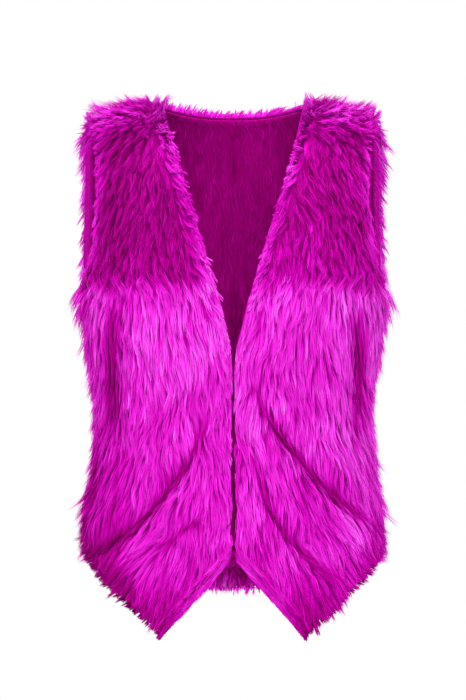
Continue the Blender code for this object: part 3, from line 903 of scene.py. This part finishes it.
class Back(Wall):
    """The back, with its distances to each armhole and to its neck."""

    def __init__(self):
        super().__init__(back_grid(), BACK_FOLDS, 1, BACK_ROWS_BELOW_ARM)
        around, far_around = self.around, self.around[-1:] - self.around
        self.arm = self.to_arm(np.minimum(around, far_around))
        self.arm_low = np.where(self.below_arm > 0, 1.0, around)
        self.arm_high = np.where(self.below_arm > 0, 1.0, far_around)
        self.top = self.hem[:, -1:] - self.hem
        past_neck = np.clip(np.abs(self.cloth.points[:, -1:, 0]) - NECK_POINT_X, 0.0, None)
        self.neck = np.hypot(self.top, past_neck * 3)
        self.free = np.minimum(np.minimum(self.hem, self.arm), self.neck + 0.006)

    def direction_at(self, turn):
        """A function for comb, with each line's own turn in degrees."""

        def direction(place, _normal, i, j):
            x, z = place[:, 0], place[:, 2]
            upper = blend_in(-0.040, 0.0, z) * blend_in(0.075, 0.105, np.abs(x))
            angle = (6 + 26 * blend_out(-0.58, -0.42, z)) * blend_in(0.03, 0.17, np.abs(x)) + 65 * upper
            angle = np.radians(angle * np.sign(x) + turn)
            down = np.stack([np.sin(angle), lean_of(z) * np.cos(angle), -np.cos(angle)], -1)
            lean = np.radians(50 + 1.6 * turn)
            up = np.stack([np.sin(lean), 0 * lean, np.cos(lean)], -1)
            stand = blend_out(0.008, 0.018, self.cloth.nearest(self.neck, i, j)) * (1 - upper)
            return down * (1 - stand)[:, None] + up * stand[:, None]

        return direction


class Roots:
    """Where the locks of a fur piece begin. kind is the number of a root's group."""

    def __init__(self, wall, groups):
        self.kind = np.repeat(np.arange(len(groups)), [len(i) for i, _ in groups])
        self.i, self.j = (np.concatenate(values) for values in zip(*groups))
        self.place, _ = wall.cloth.at(self.i, self.j)
        self.world = self.place * (wall.side, 1, 1)
        grids = (wall.neck, wall.hem, wall.arm, wall.free)
        self.neck, self.hem, self.arm, self.free = (read_grid(grid, self.i, self.j) for grid in grids)


def undercoat_height(free, relief):
    """Height of the dense short pile under the locks: hardly any at free edges, little in folds."""
    return 0.001 + 0.0030 * blend_in(0.002, 0.020, free) * (1 - 0.7 * np.clip(-relief / 0.004, 0.0, 1.0))


def shoulder_tip(x, z):
    """1 at the outer end of a shoulder, just below its top, and 0 away from it."""
    return blend_in(0.150, 0.175, np.abs(x)) * blend_in(-0.080, -0.045, z) * blend_out(-0.018, 0.004, z)


def pile_height(rng, free, flank, z, shoulder):
    """Height of the pile over its backing: less at free edges, more on the flanks and shoulders."""
    inside = blend_in(0.0, EDGE_ROUNDING, free)
    on_flank = (0.0012 + 0.0036 * blend_in(-0.33, -0.235, z)) * flank
    height = 0.0045 + 0.0070 * np.sqrt(inside) + on_flank + 0.0025 * shoulder * inside
    return height * rng.uniform(0.95, 1.06, len(z))


def lock_look(rng, pointed, clump, less_clump, wave, sway, rise):
    """The parts of a look that both kinds of fur piece draw alike. clump and rise are ranges."""
    count = len(pointed)
    return {
        "clump": np.where(pointed, 0.08, rng.uniform(*clump, count) - less_clump),
        "ragged": np.where(pointed, 0.16, 0.28),
        "wave": wave * rng.uniform(0.5, 1.4, count),
        "wavelength": rng.uniform(0.024, 0.040, count),
        "phase": 1.5 * sway + rng.uniform(0, 2 * math.pi, count) * 0.5,
        "rise": rng.uniform(*rise, count),
    }


def inset_columns(front, j, inset):
    """Columns from the neck edge to a line inside it, at rows above the closure, and 0 beside it."""
    rows = np.arange(front.cloth.last[1] + 1)
    z = np.interp(j, rows, front.cloth.points[0, :, 2])
    return inset / np.interp(j, rows, front.neck[1]) * blend_in(-0.330, -0.300, z)


def front_rim(front, inset):
    """Lines of places along a front's free edges, and just below its slanted hem."""
    last_i, last_j = front.cloth.last
    rows = np.linspace(last_j, 0, 300)
    return [
        (inset_columns(front, rows, inset), rows),
        (np.linspace(0, last_i, 160), 0.0),
        (float(last_i), np.linspace(FRONT_ROWS_BELOW_ARM, last_j, 160)),
        *((np.linspace(0.5, FRONT_COLUMNS_TO_POINT, 80), -down) for down in (0.3, 0.6, 0.9)),
    ]


def neck_lines(front, inset):
    """Lines of places just inside a front's neck edge, from the shoulder down to the closure."""
    rows = np.linspace(front.cloth.last[1], 0, 300)
    heights = read_grid(front.cloth.points, 0 * rows, rows)[:, 2]
    rows = rows[(heights > -0.325) & (heights < -0.030)]
    return [(inset_columns(front, rows, inset + more), rows) for more in (0.0015, 0.0035, 0.0060)]


def off_closure(left, right, tip, half_width):
    """How far each fibre moves out, so that the closure stays open as a slit but for some places."""
    nearest = np.minimum(np.minimum(left[..., 0].min(1), right[..., 0].min(1)), tip[:, 0])
    z = tip[:, 2]
    uneven = 0.0009 * np.sin(np.arange(len(z)) * 2.4)
    limit = half_width + uneven + 0.0004 * np.sin(z * 310.0) + 0.0005 * np.sin(z * 930.0 + 1.0)
    for crossing in CLOSURE_CROSSINGS:
        limit -= CROSSING_DEPTH * np.exp(-(((z - crossing) / CROSSING_REACH) ** 2))
    return np.clip(limit - nearest, 0.0, None) * blend_out(-0.340, -0.318, z)


def front_painted_light(front, rng, places, on_i, on_j, sway):
    """Painted light and shade, as tints to add along the lines of a front's locks: on its chest, folds,
    edges, hem and flank.
    """
    cloth, side = front.cloth, front.side
    x, z = places[..., 0], places[..., 2]
    relief = cloth.nearest(front.relief, on_i, on_j)
    # Painted shade in the troughs of the folds, weaker towards the side
    fold_shade = np.clip((-relief - 0.0003) / 0.0036, 0.0, 1.0) * (1 - 0.55 * blend_in(0.146, 0.164, x))
    border = 0.005 * sway.at((places * (side, 1, 1)).reshape(-1, 3)).reshape(relief.shape)
    on_chest = blend_in(*CHEST_Z, z + border + rng.normal(size=(len(z), 1)) * 0.003)
    on_shoulder = blend_in(-0.045, -0.010, z)
    at_neck, at_hem, at_arm = (read_grid(grid, on_i, on_j) for grid in (front.neck, front.hem, front.arm))
    arm_band = 0.022 + 0.020 * blend_out(-0.20, -0.13, z)
    # Painted highlight along the V's edge and the armhole, where the fibres lean out over the edge into the
    # light
    rim_highlight = blend_out(0.006, 0.021, at_neck) * (0.35 + 0.65 * on_chest)
    rim_highlight = np.maximum(rim_highlight, 0.9 * blend_out(0.004, arm_band, at_arm) * on_chest)
    # Painted shade on the chest above its edge, where the pile's lie takes less light; weaker along the
    # edges and on the shoulders
    chest_shade = CHEST_SHADE_DEPTH[side] + 0.07 * blend_in(-0.20, -0.12, z)
    field = -chest_shade * on_chest * (1 - 0.65 * rim_highlight) * (1 - 0.85 * on_shoulder)
    # Painted shade in fold troughs, and painted highlights on fold ridges, along the edges and on the
    # shoulder tops, which catch light from above
    field += -0.40 * fold_shade + 0.02 * np.clip(relief / 0.003, 0.0, 1.0) + 0.04 * rim_highlight + 0.06 * on_shoulder
    # Painted shade low on the front and near its outer hem, where the hem turns under
    field += -0.07 * blend_out(-0.48, -0.40, z) - 0.09 * blend_out(-0.62, -0.56, z)
    field += -0.18 * blend_out(0.015, 0.070, at_hem) * blend_in(0.060, 0.085, x)
    # Painted shade in the groove above the band along the slanted hem
    groove = np.exp(-(((at_hem - 0.0145) / 0.0028) ** 2)) * blend_out(0.070, 0.085, x)
    field += -0.16 * groove
    # Painted sheen on the wearer's left flank below the chest, and painted shade on the right one, most low
    # down
    on_flank = blend_in(0.100, 0.140, x)
    if side > 0:
        return field + 0.07 * on_flank * (1 - on_chest)
    return field - (0.035 + 0.08 * blend_out(-0.42, -0.34, z)) * on_flank


def front_locks(front, rng):
    """The pile of a front: combed locks, locks along its edges, shoulder tufts and the V's fringe."""
    cloth, side, inset = front.cloth, front.side, NECK_INSET[front.side]
    i, j = sow(cloth, FRONT_APART, rng)
    on_top = (cloth.points[:-1, :-1, 2] > TUFT_Z) & (front.neck[:-1, :-1] > 0.010)
    tufts = sow(cloth, TUFTS_APART, rng, on_top)
    edge = edge_places(cloth, rng, FRONT_EDGE_APART, front_rim(front, inset))
    fringe = edge_places(cloth, rng, FRINGE_APART, neck_lines(front, inset))
    i = np.maximum(i, inset_columns(front, j, inset))
    roots = Roots(front, ((i, j), edge, tufts, fringe))
    rim, tuft, fringe = (roots.kind == kind for kind in (1, 2, 3))
    neck, hem, arm, free = roots.neck, roots.hem, roots.arm, roots.free
    x, z = roots.place[:, 0], roots.place[:, 2]
    count = len(x)

    noise, patch, swell = fur_ripples(rng)
    sway = noise.at(roots.world)
    chest = blend_in(-0.225, -0.210, z + 0.004 * sway)
    shoulder = blend_in(-0.055, -0.008, z)
    slant = on_slant(hem, x)
    v_edge = blend_in(*V_Z, z)
    near_neck = blend_out(0.004, 0.016, neck) * v_edge
    flank = blend_in(0.0, 1.0, 1 - np.clip((-roots.place[:, 1] - 0.012) / 0.070, 0.0, 1.0)) * (1 - shoulder)
    flank *= blend_out(UNDERARM_Z - 0.004, UNDERARM_Z + 0.012, z)
    in_slit = rim & (neck < 0.001) & (z < -0.330) & (hem > 0.006)
    spike = (rng.random(count) < 0.20) & ~in_slit

    turn = 7 * sway + rng.normal(size=count) * (4 + 5 * chest + 14 * shoulder - 2 * slant)
    turn *= 1 - 0.6 * near_neck
    turn += (28 * tuft + 9 * fringe) * rng.normal(size=count)
    length = (0.049 - 0.014 * chest - 0.010 * shoulder) * rng.uniform(0.8, 1.12, count)
    length *= 1 - 0.30 * blend_out(0.0, 0.016, np.minimum(free, arm))
    length *= (1 - 0.30 * slant) * (1 - 0.2 * tuft)
    length = np.where(fringe, rng.uniform(0.016, 0.026, count), length)

    wide = np.clip(neck_edge_x(z) / 0.040, 0.0, 1.0)
    over_neck = (0.0050 * spike * rng.uniform(0.5, 1.0, count) - inset) * v_edge * wide
    over_neck += 0.0010 * (v_edge * wide - 1)
    fringe_over = (0.0120 * rng.random(count) ** 2.0 - 0.0010) * np.clip(wide * 2, 0.2, 1.0) - inset
    over_neck = np.where(in_slit, 0.0012, np.where(fringe, fringe_over, over_neck))
    over_hem = 0.0040 + 0.009 * spike * rng.uniform(0.4, 1.0, count) * (x > 0.084)
    over_hem = np.where((hem > 0.014) & (x < 0.075), -0.0080, over_hem)
    short, short_from, short_to = HEM_SHORT[side]
    over_hem -= short * blend_in(short_from, short_to, x)
    over_hem += POINT_MORE[side] * blend_in(0.088, 0.100, x) * blend_out(0.120, 0.135, x)
    over_hem = np.where(hem < 0, 0.012, over_hem)
    over_arm = -0.001 + 0.004 * spike - ARM_SHORT[side] * blend_in(-0.040, -0.010, z)
    direction_at = front.direction_at(turn, 14 * spike + fringe * rng.uniform(8, 34, count))
    edges = ((front.neck, over_neck), (front.hem, over_hem), (front.arm, over_arm))
    places, normals, on_i, on_j, length = comb_within(cloth, roots.i, roots.j, length, direction_at, edges)

    height = pile_height(rng, free, flank, z, shoulder)
    for at_z, reach, more in FLANK_SWELLS[side]:
        height += more * flank * np.exp(-(((z - at_z) / reach) ** 2))
    height += 0.0065 * shoulder_tip(x, z) * (arm < 0.030)
    fringe_height = (0.0042 + 0.0060 * blend_in(0.0, 0.009, neck)) * rng.uniform(0.8, 1.15, count)
    height = np.where(in_slit, 0.0035, np.where(fringe, fringe_height, height))
    together = np.clip(swell.at(roots.world), 0.0, None) ** 1.5
    outer_hem = blend_out(0.010, 0.035, hem) * blend_in(0.080, 0.095, x)
    lift = 0.0012 + 0.0034 * rng.random(count) ** 5 + 0.0006 * together
    lift += (0.0020 * together + 0.0045 * spike * rng.random(count)) * np.maximum(flank, outer_hem)
    lift += (0.0010 + 0.0080 * rng.random(count) ** 2) * shoulder + 0.003 * tuft
    lift *= (1 - 0.8 * slant) * ~in_slit

    # Fibres at the rims of the slit get a much lower tint: painted shadow inside the narrow slit
    field = np.where(in_slit[:, None], -0.62, front_painted_light(front, rng, places, on_i, on_j, noise))
    # The tint's patches are random tone and painted shade of small soft folds; the V's fringe is a little
    # lighter, painted highlight where it leans out into the light
    tint = 0.618 + 0.035 * patch.at(roots.world) + 0.02 * swell.at(roots.world)
    tint += rng.normal(size=count) * 0.04 + 0.02 * fringe - 0.05 * near_neck * blend_in(-0.070, -0.025, z)
    pointed = spike | tuft | fringe
    wave = (0.0008 + 0.0008 * chest + 0.0004 * shoulder) * (1 - 0.6 * slant) * (1 - 0.6 * near_neck)
    radius = np.where(spike, 0.0036, 0.0046)
    look = lock_look(rng, pointed, (0.40, 0.85), 0.12 * chest, wave, sway, (1.6, 2.2)) | {
        "radius": np.where(rim | fringe, 0.0016, np.clip(free + 0.0008, 0.0012, radius)),
        "height": height,
        "lift": lift,
        "roll": 0.25 + 0.45 * flank,
        "stray": (0.0010 + 0.0006 * chest) * (1 - 0.4 * near_neck) * (1 - 0.5 * pointed),
        "tint": tint,
        "field": field,
        "width": np.where(spike, 0.00110, np.where(fringe, 0.00072, 0.00088)),
        "length": length,
    }
    left, right, tip, tints = grow(rng, places, normals, FRONT_FIBRES, SEGMENTS, look)
    away = off_closure(left, right, tip, CLOSURE_SLIT[side]) * np.repeat(~in_slit, FRONT_FIBRES)
    for part in (left, right):
        part[..., 0] += away[:, None]
    tip[:, 0] += away
    return left * (side, 1, 1), right * (side, 1, 1), tip * (side, 1, 1), tints


def back_edges(cloth):
    """Lines of places along the back's hem, its armholes and its neck, and just inside the last two."""
    last_i, last_j = cloth.last
    rows = np.linspace(BACK_ROWS_BELOW_ARM, last_j, 160)
    lines = [(np.linspace(0, last_i, 300), 0.0)]
    for inset in (0.3, 0.6, 1.0, 1.5):
        lines.append((inset + 0.3, rows))
        lines.append((last_i - inset, rows))
    for down in (0.0, 0.5, 1.0, 1.6):
        lines.append((np.linspace(last_i * 0.25, last_i * 0.75, 200), last_j - down))
    return lines


def back_locks(back, rng):
    """The pile of the back: combed locks, locks along its edges and shoulder tufts."""
    cloth = back.cloth
    body = sow(cloth, BACK_APART, rng)
    edge = edge_places(cloth, rng, BACK_EDGE_APART, back_edges(cloth))
    corner = cloth.points[:-1, :-1]
    tufts = sow(cloth, TUFTS_APART, rng, (corner[..., 2] > TUFT_Z) & (np.abs(corner[..., 0]) > 0.075))
    roots = Roots(back, (body, edge, tufts))
    rim, tuft = roots.kind == 1, roots.kind == 2
    neck, hem, arm, free = roots.neck, roots.hem, roots.arm, roots.free
    world, out, z = roots.world, np.abs(roots.world[:, 0]), roots.world[:, 2]
    count = len(z)

    noise, patch, swell = fur_ripples(rng)
    sway = noise.at(world)
    shoulder = blend_in(-0.045, -0.005, z) * blend_in(0.075, 0.100, out)
    stand = blend_out(0.008, 0.018, neck)
    flank = blend_in(0.0, 1.0, 1 - np.clip((world[:, 1] - 0.012) / 0.060, 0.0, 1.0)) * (1 - shoulder)
    on_top = blend_in(-0.030, -0.005, z)
    at_arm = blend_out(0.006, 0.030, arm) * blend_in(UNDERARM_Z, UNDERARM_Z + 0.015, z) * (1 - on_top)
    spike = rng.random(count) < 0.25
    turn = 7 * sway + rng.normal(size=count) * (6 + 10 * shoulder)
    turn += tuft * rng.normal(size=count) * 40
    length = (0.038 - 0.008 * shoulder) * rng.uniform(0.8, 1.12, count)
    length *= 1 - 0.20 * blend_out(0.0, 0.016, np.minimum(free, arm))
    length *= (1 - 0.35 * stand) * (1 - 0.2 * tuft)
    far = spike * rng.uniform(0.5, 1.0, count)
    edges = (
        (back.arm_low, (0.001 + 0.003 * far) * (1 - on_top)),
        (back.arm_high, (0.003 + 0.005 * far) * (1 - on_top)),
        (back.hem, 0.008 + 0.009 * far),
        (back.top, np.where(out < NECK_POINT_X, 0.0030 + 0.0060 * far, 0.02)),
    )
    direction_at = back.direction_at(turn)
    places, normals, on_i, on_j, length = comb_within(cloth, roots.i, roots.j, length, direction_at, edges)

    height = pile_height(rng, free, flank, z, shoulder)
    height = np.where(at_arm > 0.5, 0.0145 * rng.uniform(0.25, 1.0, count), height)
    height += 0.0080 * shoulder_tip(out, z) * at_arm
    height *= 1 - 0.55 * stand * (out < NECK_POINT_X)
    together = np.clip(swell.at(world), 0.0, None) ** 1.5
    outer = np.maximum(np.maximum(flank, at_arm), blend_out(0.010, 0.035, hem))
    lift = 0.0012 + 0.0034 * rng.random(count) ** 5 + 0.0006 * together
    lift += (0.0020 * together + 0.0080 * far) * outer
    lift += (0.0010 + 0.0080 * rng.random(count) ** 2) * shoulder * (1 - stand) + 0.003 * tuft

    # Painted shade in the troughs of the back's folds
    field = -0.24 * np.clip(-cloth.nearest(back.relief, on_i, on_j) / 0.0065, 0.0, 1.0)
    on_shoulder = np.maximum(blend_in(0.070, 0.085, np.abs(places[..., 0])), 1 - stand[:, None])
    # Painted highlights on the shoulder tops and along the armholes' fringe
    field += 0.03 * blend_in(-0.045, -0.015, places[..., 2]) * on_shoulder + 0.03 * at_arm[:, None]
    pointed = spike | tuft
    look = lock_look(rng, pointed, (0.35, 0.80), 0.0, 0.0011, sway, (1.7, 2.6)) | {
        "radius": np.where(rim, 0.0018, np.clip(free + 0.0008, 0.0012, 0.0048)),
        "height": height,
        "lift": lift,
        "roll": 0.25 + np.maximum(0.4 * flank, 0.9 * at_arm),
        "stray": np.where(pointed, 0.0006, 0.0012 - 0.0006 * at_arm),
        "tint": 0.59 + 0.05 * patch.at(world) + rng.normal(size=count) * 0.05,
        "field": field,
        "width": np.where(spike, 0.00130, 0.00110),
        "length": length,
    }
    return grow(rng, places, normals, BACK_FIBRES, SEGMENTS, look)


def plush_locks(cloth, rng, apart, length, height, tint, over, each, shade=0.0, hidden=0.0):
    """Short pile that lies down a cloth, which faces the way its normals say.

    shade is painted shadow that darkens it up from the first row, below the lining's edge. hidden is
    painted shade that darkens it low down inside the back and beside the V's edges, next to the fronts.
    """
    i, j = sow(cloth, apart, rng)
    place, _ = cloth.at(i, j)
    x, z = place[:, 0], place[:, 2]
    count = len(i)
    sway, patch = Ripple(rng, 0.04), Ripple(rng, 0.014, stretch=(1, 1, 6.0))
    turn = rng.normal(size=count) * 6

    def direction(at, _normal, _i, _j):
        angle = np.radians(9 * sway.at(at) + turn)
        return np.stack([np.sin(angle), 0 * angle, -np.cos(angle)], -1)

    along = run_lengths(cloth.points, 1)
    lengths = length * rng.uniform(0.7, 1.2, count)
    edges = ((along, over * rng.uniform(0.2, 1.0, count) ** 2),)
    places, normals, on_i, on_j, lengths = comb_within(cloth, i, j, lengths, direction, edges)
    beside_v = blend_in(0.5, 1.1, np.abs(x) / np.maximum(neck_edge_x(z), 0.02))
    look = {
        "radius": 0.0015,
        "height": height * rng.uniform(0.7, 1.3, count),
        "lift": 0.0,
        "clump": rng.uniform(0.3, 0.8, count),
        "roll": 0.25,
        "ragged": 0.28,
        "wave": 0.0007 * rng.uniform(0.5, 1.4, count),
        "wavelength": rng.uniform(0.014, 0.024, count),
        "phase": rng.uniform(0, 2 * math.pi, count),
        "stray": 0.0006,
        "rise": 2.0,
        "tint": tint + 0.10 * patch.at(place) + rng.normal(size=count) * 0.05,
        # Painted shadow, growing up from the first row
        "field": -shade * blend_in(0.0, 0.024, read_grid(along, on_i, on_j)),
        "width": 0.00095,
        "length": lengths,
    }
    # Painted shade low down and beside the V's edges
    look["tint"] -= hidden * (blend_out(-0.27, -0.17, z) + 0.6 * beside_v)
    return grow(rng, places, normals, each, PLUSH_SEGMENTS, look)


def back_rim(back):
    """Thickness of the back's cloth outside its backing: more at the armholes, where it is turned in."""
    x, z = back.cloth.points[..., 0], back.cloth.points[..., 2]
    turned = blend_out(0.002, 0.010, back.arm) * blend_in(UNDERARM_Z + 0.002, UNDERARM_Z + 0.022, z)
    turned *= blend_out(-0.050, -0.030, z)
    thin = np.minimum(back.free, 0.002 + 0.35 * back.neck)
    return undercoat_height(thin, back.relief) + np.where(x < 0, 0.0075, 0.0050) * turned


def lining_grid(cloth):
    """(outer points, inner points, outward normals) of the back's lining."""
    columns, rows = cloth.last + 1
    around, along = run_lengths(cloth.points, 0), run_lengths(cloth.points, 1)
    first = LINING_EDGE_INSET / around[1].mean()
    low = LINING_HEM_LIFT / along[:, 1].mean()
    high = rows - 1 - LINING_GAP / (along[:, -1] - along[:, -2]).mean()
    i = np.concatenate([[first], np.arange(2, columns - 2, 2), [columns - 1 - first]])
    j = np.concatenate([[low], np.arange(math.ceil(low + 0.2), math.floor(high - 0.2) + 1, 2), [high]])
    outer, normal = cloth.at(*np.meshgrid(i, j, indexing="ij"))
    outer = outer - normal * (BACKING + LINING_GAP)
    return outer, outer - normal * LINING, normal


def stand_for(piece, name):
    """Puts a piece of cloth on the body in place of its CAD node."""
    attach(piece, "root")
    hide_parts(name)


def dress_front(name, side, seed):
    """A front's backing and its fur."""
    front = Front(side)
    points, normal = front.cloth.points[::2, ::2], front.cloth.normal[::2, ::2]
    outer = points + normal * undercoat_height(front.free, front.relief)[::2, ::2, None]
    skin = shell(f"{name}_backing", outer, points - normal * BACKING, (UNDERCOAT, FACING), side)
    stand_for(skin, name)
    fur = fibre_pieces(f"{name}_fur", front_locks(front, np.random.default_rng(seed)), FUR)


def dress_back(back, seed):
    """The back's backing, its fur and the fur inside its hem."""
    cloth = back.cloth
    outer = cloth.points + cloth.normal * back_rim(back)[..., None]
    inner = cloth.points - cloth.normal * BACKING
    # Along the neck edge, the back's inner face and rim take the painted shadow
    skin = shell("back_backing", outer, inner, (BACK_UNDERCOAT, BAND, SEAM_SHADOW), seam=back.neck < 0.010)
    stand_for(skin, "back")
    rng = np.random.default_rng(seed)
    fur = fibre_pieces("back_fur", back_locks(back, rng), FUR)
    rows = int(BACK_ROWS_BELOW_ARM * HEM_FACING_SHARE) + 1
    hem = Cloth(inner[:, :rows], -cloth.normal[:, :rows])
    # The fur inside the hem gets painted shadow towards its top, under the lining's edge
    facing = plush_locks(hem, rng, FACING_APART, 0.020, 0.0035, 0.52, 0.014, 5, shade=0.42)
    fur += fibre_pieces("back_hem_facing", facing, FUR)


def dress_lining(back, seed):
    """The back's lining and its plush."""
    outer, inner, normal = lining_grid(back.cloth)
    lining = shell("back_lining_cloth", outer, inner, (FACING, FACING))
    stand_for(lining, "back_lining")
    rng = np.random.default_rng(seed)
    cloth = Cloth(inner, -normal)
    # The lining's plush gets painted shade low down and beside the V's edges
    plush = plush_locks(cloth, rng, PLUSH_APART, 0.022, 0.0016, 0.45, 0.002, 2, hidden=0.24)
    plush = fibre_pieces("back_lining_plush", plush, PLUSH)


def make_camera():
    """The photograph's camera: level, 3 m in front of the side seams' plane."""
    data = bpy.data.cameras.new("camera")
    data.sensor_width = SENSOR
    data.lens = SENSOR * -CAMERA_PLACE[1] / PICTURE_HEIGHT
    data.clip_end = 50.0
    made = add_object("camera", data)
    made.location = CAMERA_PLACE
    made.rotation_euler = (math.radians(90), 0.0, 0.0)
    bpy.context.scene.camera = made


def make_studio():
    """White surroundings, a pale floor well below the vest, and soft lights."""
    scene = bpy.context.scene
    scene.view_settings.view_transform = "Standard"
    scene.view_settings.look = "None"
    scene.world = bpy.data.worlds.new("studio")
    scene.world.use_nodes = True
    tree = scene.world.node_tree
    background = tree.nodes["Background"]
    background.inputs["Color"].default_value = (1.0, 1.0, 1.0, 1.0)
    path = node(tree, "ShaderNodeLightPath")
    strength = node(tree, "ShaderNodeMapRange")
    strength.inputs["To Min"].default_value = SURROUNDING_LIGHT
    strength.inputs["To Max"].default_value = 1.0
    tree.links.new(path.outputs["Is Camera Ray"], strength.inputs["Value"])
    tree.links.new(strength.outputs["Result"], background.inputs["Strength"])
    for name, place, aim, size, power in LIGHTS:
        data = bpy.data.lights.new(name, "AREA")
        data.shape = "SQUARE"
        data.size = size
        data.energy = power
        light = add_object(name, data)
        light.location = place
        light.rotation_euler = (Vector(aim) - Vector(place)).to_track_quat("-Z", "Y").to_euler()

    mesh = bpy.data.meshes.new("floor")
    turn = np.linspace(0, 2 * math.pi, FLOOR_CORNERS, endpoint=False)
    ring = np.stack([FLOOR_RADIUS * np.cos(turn), FLOOR_RADIUS * np.sin(turn), 0 * turn + FLOOR_Z], -1)
    mesh.from_pydata(ring.tolist(), [], [list(range(FLOOR_CORNERS))])
    paint, _, shader = new_material("floor_paint", 0.8, 0.5)
    shader.inputs["Base Color"].default_value = (0.9, 0.9, 0.9, 1)
    mesh.materials.append(paint)
    add_object("floor", mesh)


def main():
    """Builds the scene."""
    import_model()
    make_camera()
    make_studio()
    dress_front("front_left", 1, seed=11)
    dress_front("front_right", -1, seed=12)
    back = Back()
    dress_back(back, seed=21)
    dress_lining(back, seed=31)


main()
